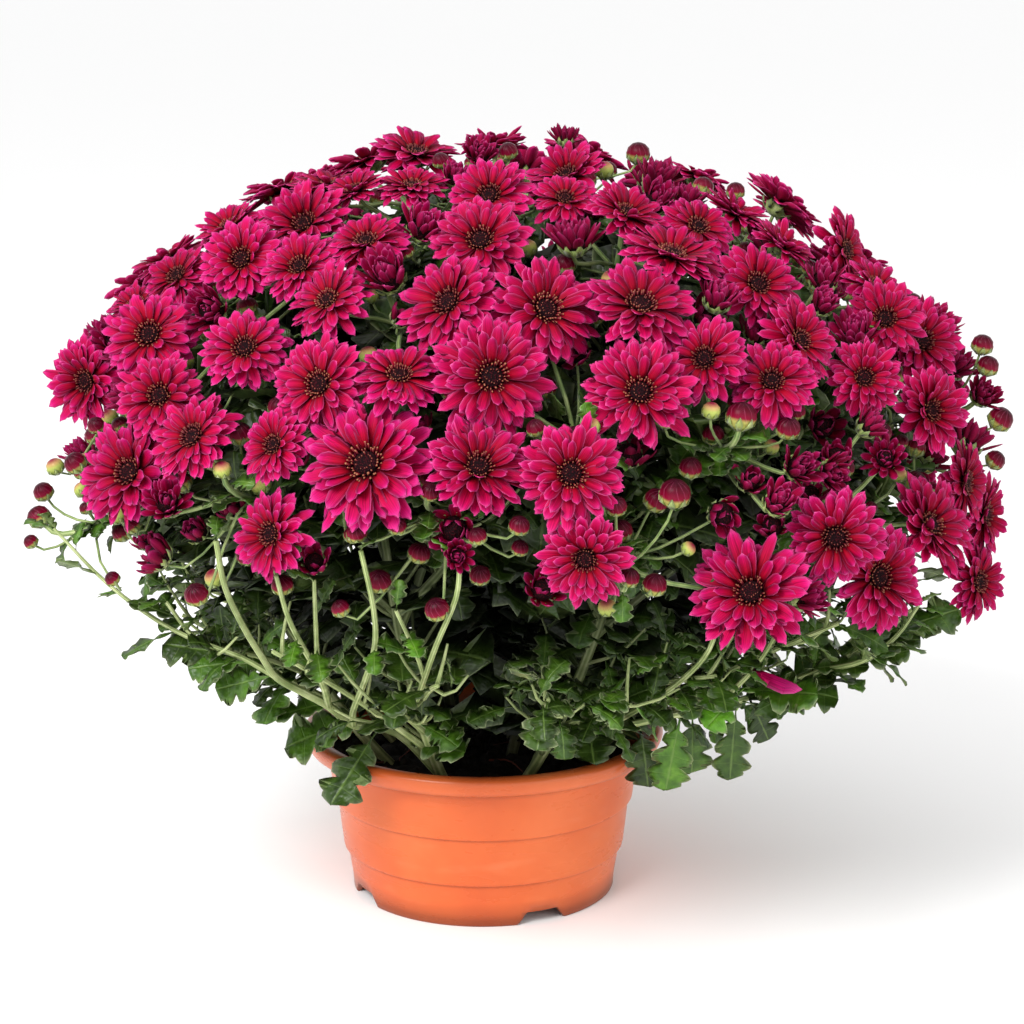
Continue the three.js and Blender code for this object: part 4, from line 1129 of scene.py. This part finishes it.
# A spray: its heads, its stalks, a small leaf at the foot of most side stalks, and in front some leaves
# round the central stalk.
def buildSpray(number, spray):
    random = np.random.default_rng(seeds["sprays"] + number)
    piece = newPiece()
    for head in spray["members"] + spray["young"]:
        addHead(piece, head, random)
    starts, central = addStalks(piece, spray, random)
    inFront = spray["facing"][1] < sprayLeaves["front"]
    for start, heading in starts:
        if random.random() < sprayLeaves["bareBehind"] and not inFront:
            continue
        aside = unit(np.cross(heading, upward)) * random.choice([-1, 1])
        along = unit(heading + aside * sprayLeaves["spread"])[None]
        up = unit(np.cross(np.cross(along, upward[None]), along))
        size = np.array([random.uniform(*sprayLeaves["sizes"])])
        sheet = middleSheet if inFront else coarseSheet
        addLeaves(piece, start[None], along, up, size, random, sprayLeaves["youth"], sheet)
    if inFront and spray["facing"][2] < sprayLeaves["belowTop"]:
        shares, sizes = (np.linspace(*sprayLeaves[key], sprayLeaves["count"])
                         for key in ("shares", "centralSizes"))
        leaves = leavesOn(central, shares, sizes, sprayLeaves["lean"], 0.0, random)
        lit = leaves[0][:, 0] > sprayLeaves["litFrom"]
        youth = sprayLeaves["centralYouth"] + sprayLeaves["litYouth"] * lit
        addLeaves(piece, *leaves, random, youth, middleSheet)
    name = f"spray_{number:02d}"
    makePiece("flowers_" + name, piece, [name])


for number, spray in enumerate(groups, 1):
    buildSpray(number, spray)
print("sprays built")

# Leafy stems. Branches that show between the leaves of the front, each from a main stem (its number and the
# share of its length) through places in millimetres, with the girths of its two ends.
frontBranches = [
    (8, 0.12, (2.7, 1.4), [(-45, -62, 106), (-68, -70, 113), (-79, -92, 130), (-92, -100, 140),
                           (-104, -114, 152), (-110, -130, 168), (-116, -155, 190), (-122, -178, 216),
                           (-125, -184, 240)]),
    (8, None, (1.7, 1.0), [(-104, -114, 152), (-122, -112, 162), (-146, -104, 170), (-160, -108, 190)]),
    (8, None, (1.5, 0.8), [(-122, -112, 162), (-158, -102, 174), (-192, -88, 194), (-222, -72, 220)]),
    (8, None, (1.9, 1.1), [(-79, -92, 130), (-80, -132, 156), (-86, -160, 180), (-91, -187, 203),
                           (-95, -203, 228)]),
    (8, None, (1.5, 1.0), [(-81, -140, 162), (-79, -172, 190), (-77, -205, 226)]),
    (8, None, (2.0, 1.2), [(-68, -70, 113), (-66, -100, 130), (-57, -146, 160), (-50, -184, 188),
                           (-49, -210, 214), (-54, -220, 244)]),
    (8, 0.2, (1.9, 1.2), [(-36, -74, 120), (-33, -120, 140), (-27, -160, 165), (-20, -196, 192),
                          (-10, -222, 222), (-8, -226, 240)]),
    (8, None, (1.4, 0.9), [(-27, -160, 165), (-30, -184, 184), (-38, -216, 214)]),
    (1, 0.12, (2.4, 1.3), [(36, -58, 100), (62, -84, 114), (95, -92, 124), (120, -92, 129), (148, -80, 134),
                           (176, -70, 144), (196, -64, 158), (206, -62, 172)]),
    (1, None, (1.9, 1.1), [(62, -84, 114), (86, -118, 140), (102, -142, 160), (112, -168, 182),
                           (115, -202, 212)]),
    (1, None, (1.6, 1.0), [(120, -92, 129), (136, -112, 152), (147, -138, 180), (150, -170, 204)]),
    (1, None, (1.9, 1.0), [(148, -80, 134), (176, -88, 148), (203, -84, 162), (226, -74, 178)]),
    (1, None, (1.7, 0.9), [(176, -88, 148), (196, -104, 158), (212, -108, 172), (224, -104, 188)]),
    (1, None, (1.7, 0.9), [(206, -62, 172), (222, -44, 184), (234, -24, 200)]),
]
# Leaves that show singly: stem, foot, tip, the way that the upper side faces, and youth.
placedLeaves = [
    (8, (-55, -72, 111), (-79, -92, 75), (-0.3, -1, 0.3), 0.0),
    (8, (-44, -62, 106), (-8, -82, 93), (0, -0.5, 1), 0.1),
    (8, (-72, -66, 125), (-110, -66, 113), (0, -0.5, 1), 0.1),
    (8, (-57, -64, 118), (-106, -62, 98), (-0.2, -0.6, 1), 0.1),
    (8, (-153, -106, 180), (-182, -98, 186), (0, -0.5, 1), 0.0),
    (8, (-124, -112, 163), (-163, -98, 162), (0, -0.5, 1), 0.0),
    (8, (-118, -113, 160), (-149, -112, 154), (0, -0.7, 0.8), 0.1),
    (8, (-106, -114, 153), (-135, -106, 142), (0, -1, 0.7), 0.2),
    (1, (135, -106, 144), (115, -116, 124), (-0.2, -1, 0.6), 1.0),
    (1, (104, -92, 126), (95, -100, 84), (-0.1, -1, 0.4), 0.28),
    (1, (133, -88, 130), (130, -84, 88), (0.1, -1, 0.2), 0.1),
    (1, (140, -86, 132), (150, -80, 108), (0.2, -1, 0.3), 0.0),
    (1, (110, -88, 126), (112, -84, 86), (0.1, -1, 0.2), 0.2),
    (1, (84, -62, 110), (90, -72, 78), (0.2, -1, 0.2), 0.0),
    (1, (133, -102, 142), (172, -122, 143), (0, -0.5, 1), 0.15),
    (1, (137, -98, 138), (168, -94, 127), (0, -0.5, 1), 0.0),
    (1, (152, -88, 138), (186, -90, 132), (0, -0.5, 1), 0.0),
    (1, (160, -92, 144), (194, -98, 142), (0, -0.4, 1), 0.0),
    (1, (168, -90, 149), (201, -96, 152), (0, -0.5, 1), 0.1),
    (1, (186, -88, 153), (223, -90, 154), (0, -0.6, 1), 0.15),
    (1, (194, -84, 158), (229, -84, 163), (0, -0.4, 1), 0.0),
    (1, (204, -84, 164), (251, -68, 169), (0, -0.4, 1), 0.0),
    (1, (210, -78, 170), (252, -60, 178), (0, -0.4, 1), 0.1),
    (1, (148, -80, 134), (190, -82, 150), (0, -0.8, 1), 0.0),
    (7, (-84, -35, 121), (-72, -35, 160), (0, -1, 0.3), 0.0),
    (7, (-90, -37, 132), (-59, -13, 112), (0, -1, 0.5), 0.0),
    (9, (34, -27, 156), (5, -2, 178), (0, -1, 0.3), 0.0),
    (9, (37, -29, 172), (78, -32, 152), (0, -1, 0.3), 0.0),
    (9, (34, -27, 156), (24, -27, 116), (0, -1, 0.2), 0.0),
    (10, (56, 46, 357), (16, 54, 361), (0, -0.6, 1), 0.0),
    (12, (11, -32, 359), (53, -28, 377), (0, -0.6, 1), 0.0),
]
# Leaves on those branches: how many, and the size of the lowest, by side and by how far out the branch ends
frontLeaves = {"leftFar": (6, 32), "leftNear": (3, 26), "rightFar": (10, 32), "rightNear": (6, 26),
               "leftStem": 8, "farFrom": 150, "from": 0.3, "tipSize": 19, "lean": 0.8, "youth": 0.2}
# Placed leaves' own shade by their youth is painted light and shade: brightest for fresh ones, darkest for
# those of no youth, which sit in the dark.
placedLeaf = {"longer": 1.1, "bend": (-0.1, 0.35), "freshFrom": 0.8, "fresh": (0.95, 1.0),
              "young": (0.5, 0.9), "old": (0.1, 0.4)}


# A smooth path through places. Between b and c, with a before and d after them, it is half of
# 2 b + (c - a) t + (2 a - 5 b + 4 c - d) t^2 + (3 b - a - 3 c + d) t^3.
def throughPlaces(places, steps=4):
    places = np.array(places, float)
    padded = np.vstack([2 * places[0] - places[1], places, 2 * places[-1] - places[-2]])
    t = (np.arange(steps) / steps)[:, None]
    a, b, c, d = (padded[i:i + len(places) - 1, None] for i in range(4))
    path = 0.5 * (2 * b + (c - a) * t + (2 * a - 5 * b + 4 * c - d) * t ** 2
                  + (3 * b - a - 3 * c + d) * t ** 3)
    return np.vstack([path.reshape(-1, 3), places[-1:]])


# The listed branches and leaves of one stem. Branches that end far out carry more and larger leaves.
def addFront(piece, number, trunk, random):
    for stem, share, girths, places in frontBranches:
        if stem == number:
            if share is not None:
                places = [onPath(trunk["path"], share)[0]] + places
            path = throughPlaces(places)
            girth = np.linspace(*girths, len(path))
            tone = np.array([[0.4, 0.0, 0.0]])
            addTubes(piece, path[None], girth, sides["frontBranch"], "stem", tone)
            reach = "Far" if abs(path[-1, 0]) > frontLeaves["farFrom"] else "Near"
            count, size = frontLeaves[("left" if number == frontLeaves["leftStem"] else "right") + reach]
            shares = np.linspace(frontLeaves["from"], 1, count)
            sizes = np.linspace(size, frontLeaves["tipSize"], count)
            leaves = leavesOn(path, shares, sizes, frontLeaves["lean"], 0.0, random)
            addLeaves(piece, *leaves, random, frontLeaves["youth"], middleSheet)
    for stem, foot, tip, up, youth in placedLeaves:
        if stem == number:
            foot, tip, up = (np.array([row], float) for row in (foot, tip, up))
            along = unit(tip - foot)
            size = length(tip - foot)[:, 0] * placedLeaf["longer"]
            # Painted light and shade: the leaf's own shade range by its youth.
            age = "fresh" if youth > placedLeaf["freshFrom"] else "young" if youth > 0 else "old"
            addLeaves(piece, foot, along, squared(up, along), size, random, youth, shade=placedLeaf[age],
                      bend=placedLeaf["bend"])


# Radii at the foot and tip of each kind of stem, how deep inside the bush the old leaves are kept, and the
# ranges of the crown's and the deep leaves' own shade, which for the deep ones is a painted shade
foliage = {"stemGirth": (3.3, 2.2), "branchGirth": (2.3, 1.9), "shootGirth": (2.0, 1.1), "front": 0.5,
           "inside": 0.3, "insideFoot": 0.2, "insideCrown": 0.1, "crown": 0.45, "crownShade": (0.2, 0.7),
           "deepShown": 0.8, "deepShade": (0.0, 0.35), "oldYouth": 0.05}
# Sets of leaves round a path: its shares where the first and the last sit, how many, size at its start and
# what is taken off it by the end, lean from the path in radians, and droop, or lift where it is below 0.
leafSets = {
    "trunk": (0.42, 0.97, 7, 50, 14, 1.15, 0.0), "frontDeep": (0.3, 0.95, 12, 58, 0, 1.3, -0.25),
    "sideDeep": (0.1, 0.95, 30, 58, 0, 1.3, -0.25), "backDeep": (0.1, 0.95, 42, 58, 0, 1.3, -0.25),
    "frontShoot": (0.45, 0.99, 3, 44, 14, 0.95, 0.1), "sideShoot": (0.45, 0.99, 5, 44, 14, 0.95, 0.1),
    "backShoot": (0.45, 0.99, 5, 50, 14, 0.95, 0.1), "shootDeep": (0.3, 0.9, 5, 48, 0, 1.2, -0.2),
    "branch": (0.5, 0.9, 2, 44, 14, 1.25, 0.05), "branchSmall": (0.6, 1, 6, 32, 0, 1.2, -0.1),
    "branchDeep": (0.5, 1, 19, 58, 0, 1.45, 0.0), "crown": (0.85, 1, 9, 48, 0, 0.6, -0.3),
    "twig": (0.3, 1, 4, 26, 0, 1.0, 0.0),
}
twigSets = {"trunk": (0.3, 9, 44, 0.9), "shoot": (0.3, 5, 34, 0.8), "branch": (0.4, 6, 40, 0.8)}
# Where the low branches show in front, in an ellipsoid, few leaves are kept.
opening = {"centre": np.array([-62.0, -165.0, 165.0]), "size": np.array([82.0, 82.0, 50.0]), "kept": 0.2}
# The skirt's lowest leaves to the left and right: radius and height where each starts, and its slope.
skirts = {-1: (128, 106, 0.9), 1: (176, 112, 0.62)}
skirtFrom = 60  # how far to the side the skirt starts
# Leaves in front look younger, the farther right they stand of a place, up to another one
litSide = {"from": 20, "to": 170, "youth": 0.38, "front": -40, "shown": 0.4}


# One of the sets of leaves round a path. A leaf's size is the set's, less its share of what is taken off.
def leavesOf(kind, path, random):
    first, last, count, size, shorter, lean, droop = leafSets[kind]
    shares = np.linspace(first, last, count)
    return leavesOn(path, shares, size - shorter * shares, lean, droop, random)


# Of a set of leaves: those outside the opening and over the skirt's slope, or where a least shelter is
# given, those that lie that deep in the bush.
def leavesKept(leaves, random, inside=0):
    base, along, up, size = leaves
    tips = base + along * size[:, None]
    near = length((base + along * size[:, None] * 0.5 - opening["centre"]) / opening["size"])[:, 0] < 1
    kept = ~near | (random.random(len(base)) < opening["kept"])
    for way, (radius, height, slope) in skirts.items():
        out = length(tips[:, :2])[:, 0] - radius
        kept &= ~((tips[:, 0] * way > skirtFrom) & (out > 0) & (tips[:, 2] < height + slope * out))
    if inside > 0:
        kept = (shelter(tips) > inside) & (shelter(base) > foliage["insideFoot"])
    return [rows[kept] for rows in (base, along, up, size, tips)]


# Adds a set's leaves that show with its fine sheet, and the others with its coarse one.
def addShown(piece, leaves, shows, sheets, youth, shade, random):
    for chosen, sheet in zip((shows, ~shows), sheets):
        if chosen.any():
            base, along, up, size, _ = (rows[chosen] for rows in leaves)
            addLeaves(piece, base, along, up, size, random, youth[chosen], sheet, shade)


# Adds a set of leaves that are younger, the nearer their tips are to the lit side in front.
def addSet(piece, leaves, sheets, random):
    kept = leavesKept(leaves, random)
    tips = kept[-1]
    lit = np.clip((tips[:, 0] - litSide["from"]) / (litSide["to"] - litSide["from"]), 0, 1)
    youth = foliage["oldYouth"] + litSide["youth"] * (lit * (tips[:, 1] < litSide["front"]))
    shows = (tips[:, 1] < litSide["front"]) & (shelter(tips) < litSide["shown"])
    addShown(piece, kept, shows, sheets, youth, (0.0, 1.0), random)


# Adds a set of old leaves that fill the inside of the bush, darkened by a painted shade.
def addDeep(piece, leaves, random):
    kept = leavesKept(leaves, random, foliage["inside"])
    tips = kept[-1]
    shows = (tips[:, 1] < 0) & (shelter(tips) < foliage["deepShown"])
    youth = np.zeros(len(tips))
    addShown(piece, kept, shows, (coarseSheet, deepSheet), youth, foliage["deepShade"], random)


# A leafy stem: tubes along its trunk, side shoots, branches and twigs, each with its sets of leaves. Trunks
# in front are barer below. The leaves are added last, as one mesh.
def buildStem(number, trunk):
    random = np.random.default_rng(seeds["stems"] + number)
    front = cos(trunk["azimuth"]) if trunk["outer"] else 0
    way = "front" if front > foliage["front"] else "side" if front >= 0 else "back"
    piece = newPiece()
    woody = np.array([[0.5, 1.0, 0.0]])
    green = np.array([[0.5, 0.0, 0.0]])

    def addTube(path, girth, around, tone):
        addTubes(piece, path[None], np.linspace(*foliage[girth], len(path)), around, "stem", tone)

    addTube(trunk["path"], "stemGirth", sides["trunk"], woody)
    large = [leavesOf("trunk", trunk["path"], random)]
    addFront(piece, number, trunk, random)
    small = []
    deep = [leavesOf(way + "Deep", trunk["path"], random)]
    twigs = twigsOn(trunk["path"], *twigSets["trunk"], random)
    for path in shootPaths(trunk, seededRandom(seeds["firstShoots"] + number - 1)):
        addTube(path, "shootGirth", sides["branch"], green)
        large.append(leavesOf(way + "Shoot", path, random))
        deep.append(leavesOf("shootDeep", path, random))
        twigs += twigsOn(path, *twigSets["shoot"], random)
    for spray in trunk["sprays"]:
        path = spray["path"]
        addTube(path, "branchGirth", sides["branch"], green)
        large.append(leavesOf("branch", path, random))
        small.append(leavesOf("branchSmall", path, random))
        deep.append(leavesOf("branchDeep", path, random))
        if spray["facing"][2] > foliage["crown"]:  # upright leaves close the crown between its stalks
            base, along, up, size, _ = leavesKept(leavesOf("crown", path, random), random,
                                                  foliage["insideCrown"])
            if len(base):
                addLeaves(piece, base, along, up, size, random, 0.0, deepSheet, foliage["crownShade"])
        twigs += twigsOn(path, *twigSets["branch"], random)
    for path in twigs:
        small.append(leavesOf("twig", path, random))
    girth = np.linspace(*twig["girth"], twig["steps"])
    addTubes(piece, np.array(twigs), girth, sides["twig"], "stem", np.tile(green, (len(twigs), 1)))
    for leaves in large:
        addSet(piece, leaves, (leafSheet, middleSheet), random)
    for leaves in small:
        addSet(piece, leaves, (middleSheet, coarseSheet), random)
    for leaves in deep:
        addDeep(piece, leaves, random)
    name = f"leafy_stem_{number:02d}"
    makePiece("foliage_" + name, piece, [name])


for number, trunk in enumerate(trunks, 1):
    buildStem(number, trunk)
print("leafy stems built")

# Drainage notches in the standing ring: how many, where the first is in degrees, and their sizes
pot = {"notches": 4, "notchTurn": 26.5, "notchHeight": 7, "notchFoot": 29, "notchTop": 18, "footRadius": 73,
       "around": 132, "cornersClear": 0.015}
# (radius, height) from the middle of the floor's underside, out and up the wall, over the lip, and down
# inside to the middle of the floor: each band steps out over the one below, and the lip is rolled.
potProfile = np.array([
    (0.5, 8.5), (40, 8.5), (68.5, 8.5), (69.8, 7.6), (70, 7), (70, 3), (70, 0.6), (70.6, 0), (72.2, 0),
    (73, 0.7), (73.1, 3), (73.4, 7), (74.5, 14), (76.1, 24), (76.3, 24.5), (77.8, 24.9), (78.2, 25.3),
    (78.4, 26.4), (79.9, 39), (81.2, 51.6), (81.4, 52.1), (82.9, 52.5), (83.3, 52.9), (83.5, 54), (85, 66),
    (86.6, 78.2), (87.2, 79.4), (92, 80.6), (95.8, 81.3), (96.9, 82.2), (98.4, 84.6), (99.6, 87.2),
    (100, 88.8), (99.7, 90.2), (98.4, 91.3), (96.4, 91.9), (94, 91.8), (91.4, 91.1), (89.6, 89.9),
    (88.4, 88), (85.8, 79), (83, 60), (79.4, 52), (78, 40), (74.8, 25), (72, 14), (70, 11.4), (66, 10.7),
    (0.5, 10.7),
])


# Columns of points round the axis: even ones, and one at each corner of a notch. A point stands at
# (radius sin(angle), -radius cos(angle)), and the ring's foot is lifted inside a notch, by the notch's
# height times how far the point is down its slanted side.
def buildPot():
    turn, share = radians(pot["notchTurn"]), 2 * pi / pot["notches"]
    foot, top = pot["notchFoot"] / 2, pot["notchTop"] / 2
    halves = np.array([-foot, -top, top, foot]) / pot["footRadius"]
    corners = (turn + share * np.arange(pot["notches"])[:, None] + halves).ravel() % (2 * pi)
    even = np.arange(pot["around"]) * 2 * pi / pot["around"]
    apart = np.abs((even[:, None] - corners + pi) % (2 * pi) - pi).min(-1)
    angle = np.sort(np.concatenate([even[apart > pot["cornersClear"]], corners]))
    arc = np.abs((angle - turn + share / 2) % share - share / 2) * pot["footRadius"]
    lifted = pot["notchHeight"] * np.clip((foot - arc) / (foot - top), 0, 1)
    height = np.maximum(potProfile[:, 1, None], lifted[None])
    radius = np.broadcast_to(potProfile[:, :1], height.shape)
    rings = np.stack([radius * np.sin(angle), -radius * np.cos(angle), height], -1)[None, :, ::-1]
    piece = newPiece()
    addRings(piece, rings, "pot", np.linspace(0, 1, len(potProfile)), np.zeros((1, 3)))
    makePiece("mouldedPot", piece, ["pot"])


buildPot()
print("pot built")

# The soil's grid, its crowned top and lumps, and its hidden lower rings as (radius, height)
soil = {"around": 120, "rows": 34, "radius": 83.6, "rise": 4, "edgeDown": 2, "crumb": 1.6, "smooth": 2.2,
        "under": [(70.5, 12.2), (73, 25.6), (77.6, 40), (79.2, 52), (82.6, soilTop - 6)]}
crumbs = {"count": 150, "inset": 4, "down": 1.6, "sizes": (1.2, 3.4), "wave": 0.18, "waves": 3,
          "profile": [(0.25, -0.9), (0.85, -0.45), (1, 0.2), (0.5, 0.8)]}
threads = {"count": 14, "start": (20, 66), "steps": 9, "step": 4.5, "bend": 0.35, "inset": 5,
           "over": 0.4, "girth": (0.7, 0.25)}


# The soil is crowned: it rises by rise cos(share of the radius times a quarter turn).
def crowned(share):
    return soil["rise"] * np.cos(share * pi / 2)


# Turned rings of the soil with smoothed random lumps, crumbs of bark and peat half sunk in it, and thin
# reddish roots that lie over it in slow bends, whose heading is the running sum of small turns.
def buildSoil():
    random = np.random.default_rng(seeds["soil"])
    piece = newPiece()
    angle = np.arange(soil["around"]) * 2 * pi / soil["around"]
    share = np.linspace(1, 0.01, soil["rows"])
    lumps = random.normal(0, 1, (soil["rows"], soil["around"]))
    for _ in range(2):
        lumps = (lumps + np.roll(lumps, 1, 1) + np.roll(lumps, -1, 1)) / soil["smooth"]
    height = soilTop - soil["edgeDown"] + crowned(share)[:, None] + soil["crumb"] * lumps
    height[-1] = height[-1].mean()
    under = np.array(soil["under"])
    even = np.ones(soil["around"])
    height = np.vstack([under[:, 1:] * even, height])
    radius = np.concatenate([under[:, 0], soil["radius"] * share])[:, None] * even
    rings = np.stack([radius * np.cos(angle), radius * np.sin(angle), height], -1)[None]
    addRings(piece, rings, "soil", np.linspace(0, 1, len(radius)), np.zeros((1, 3)))

    count = crumbs["count"]
    spot = np.sqrt(random.uniform(0, 1, count)) * (soil["radius"] - crumbs["inset"])
    spin = random.uniform(0, 2 * pi, count)
    level = soilTop - crumbs["down"] + crowned(spot / soil["radius"])
    centre = np.stack([spot * np.cos(spin), spot * np.sin(spin), level], -1)
    axis = unit(random.normal(0, 1, (count, 3)))
    sizes = random.uniform(*crumbs["sizes"], count)
    addTurned(piece, centre, axis, sizes, crumbs["profile"], sides["crumb"], "soil", np.zeros((count, 3)),
              crumbs["wave"], crumbs["waves"])

    steps = threads["steps"]
    for _ in range(threads["count"]):
        spin = random.uniform(0, 2 * pi)
        start = np.array([cos(spin), sin(spin), 0]) * random.uniform(*threads["start"])
        turn = random.uniform(0, 2 * pi) + np.cumsum(random.normal(0, threads["bend"], steps))
        heading = np.stack([np.cos(turn), np.sin(turn), turn * 0], -1)
        path = start + np.cumsum(heading * threads["step"], axis=0)
        reach = np.minimum(length(path[:, :2]), soil["radius"] - threads["inset"])
        path[:, :2] = unit(path[:, :2]) * reach
        path[:, 2] = soilTop + threads["over"] + crowned(reach[:, 0] / soil["radius"])
        tone = np.array([[random.random(), 0, 0]])
        girth = np.linspace(*threads["girth"], steps)
        addTubes(piece, path[None], girth, sides["thread"], "root", tone)
    makePiece("pottingMix", piece, ["soil"])


buildSoil()
print("soil built")

# One curled petal has fallen on a leaf at the lower right. Its colours start at a share of a whole petal's.
fallenPetal = {"place": (138.0, -121.0, 158.0), "length": 27, "width": 5.2, "along": (1.0, -0.4, -0.15),
               "upper": (0.0, 0.7, -0.7), "cup": 0.9, "rise": 0.1, "curl": 0.35, "twist": 0.4,
               "colours": (0.7, 0.28)}


# A single blade, its upper side turned square to its length.
def buildFallenPetal():
    piece = newPiece()
    values = {key: np.array([value]) for key, value in fallenPetal.items()}
    along = unit(values["along"])
    up = unit(np.cross(np.cross(along, values["upper"]), along))
    s, across, lift = petalShape(petalSheet, values["width"], values["length"], values["cup"], np.zeros(1))
    points = layBlades(values["place"], along, up, values["length"], s, across, lift, values["rise"],
                       values["curl"], values["twist"])
    first, span = fallenPetal["colours"]
    place = np.stack([petalSheet["u"], first + span * petalSheet["v"], np.abs(petalSheet["side"])], -1)
    addShape(piece, points, petalSheet["faces"], "petal", place, np.array([[0.0, 0.0, 0.5]]))
    makePiece("fallenPetal", piece, [])


buildFallenPetal()
print("fallen petal built")

view = {"lens": 92.25, "sensor": 36.0, "pitch": 0.223, "clip": 100}
light = {"sky": 1.0, "aim": (0, 0, 0.2), "floor": "fbfbfb", "floorReach": 40.0}
lamps = [("key", (-1.0, -1.5, 1.7), 50, 1.0), ("fill", (1.4, -1.2, 0.9), 6, 1.4)]  # place, power and size


# Places a camera, a floor or a lamp in the scene.
def placed(name, data):
    thing = bpy.data.objects.new(name, data)
    bpy.context.scene.collection.objects.link(thing)
    return thing


# The camera stands at the eye and looks down by its pitch. The floor is a square of twice its reach, and
# the lamps look at a place over the pot.
def buildStage():
    scene = bpy.context.scene
    data = bpy.data.cameras.new("viewCamera")
    data.lens = view["lens"]
    data.sensor_width = view["sensor"]
    data.sensor_fit = "HORIZONTAL"
    data.clip_end = view["clip"]
    camera = placed("viewCamera", data)
    camera.location = Vector(eye * mm + potAxis)
    camera.rotation_euler = (pi / 2 - view["pitch"], 0, 0)
    scene.camera = camera

    mesh = bpy.data.meshes.new("floor")
    corners = [(x * light["floorReach"], y * light["floorReach"], 0) for x, y in
               ((-1, -1), (1, -1), (1, 1), (-1, 1))]
    mesh.from_pydata(corners, [], [(0, 1, 2, 3)])
    paint, _ = newFinish("PaleStudioFloor", Base_Color=linear(light["floor"]), Roughness=0.9)
    mesh.materials.append(paint)
    floor = placed("floor", mesh)

    world = bpy.data.worlds.new("studio")
    world.use_nodes = True
    sky = world.node_tree.nodes["Background"]
    sky.inputs["Color"].default_value = grey(1)
    sky.inputs["Strength"].default_value = light["sky"]
    scene.world = world
    scene.view_settings.view_transform = "Standard"
    for name, place, power, size in lamps:
        lamp = bpy.data.lights.new(name, "AREA")
        lamp.energy = power
        lamp.size = size
        thing = placed(name, lamp)
        thing.location = place
        thing.rotation_euler = (Vector(light["aim"]) - Vector(place)).to_track_quat("-Z", "Y").to_euler()


buildStage()
print("stage built;", sum(triangles.values()), "triangles, at most", max(triangles.values()), "in a piece")
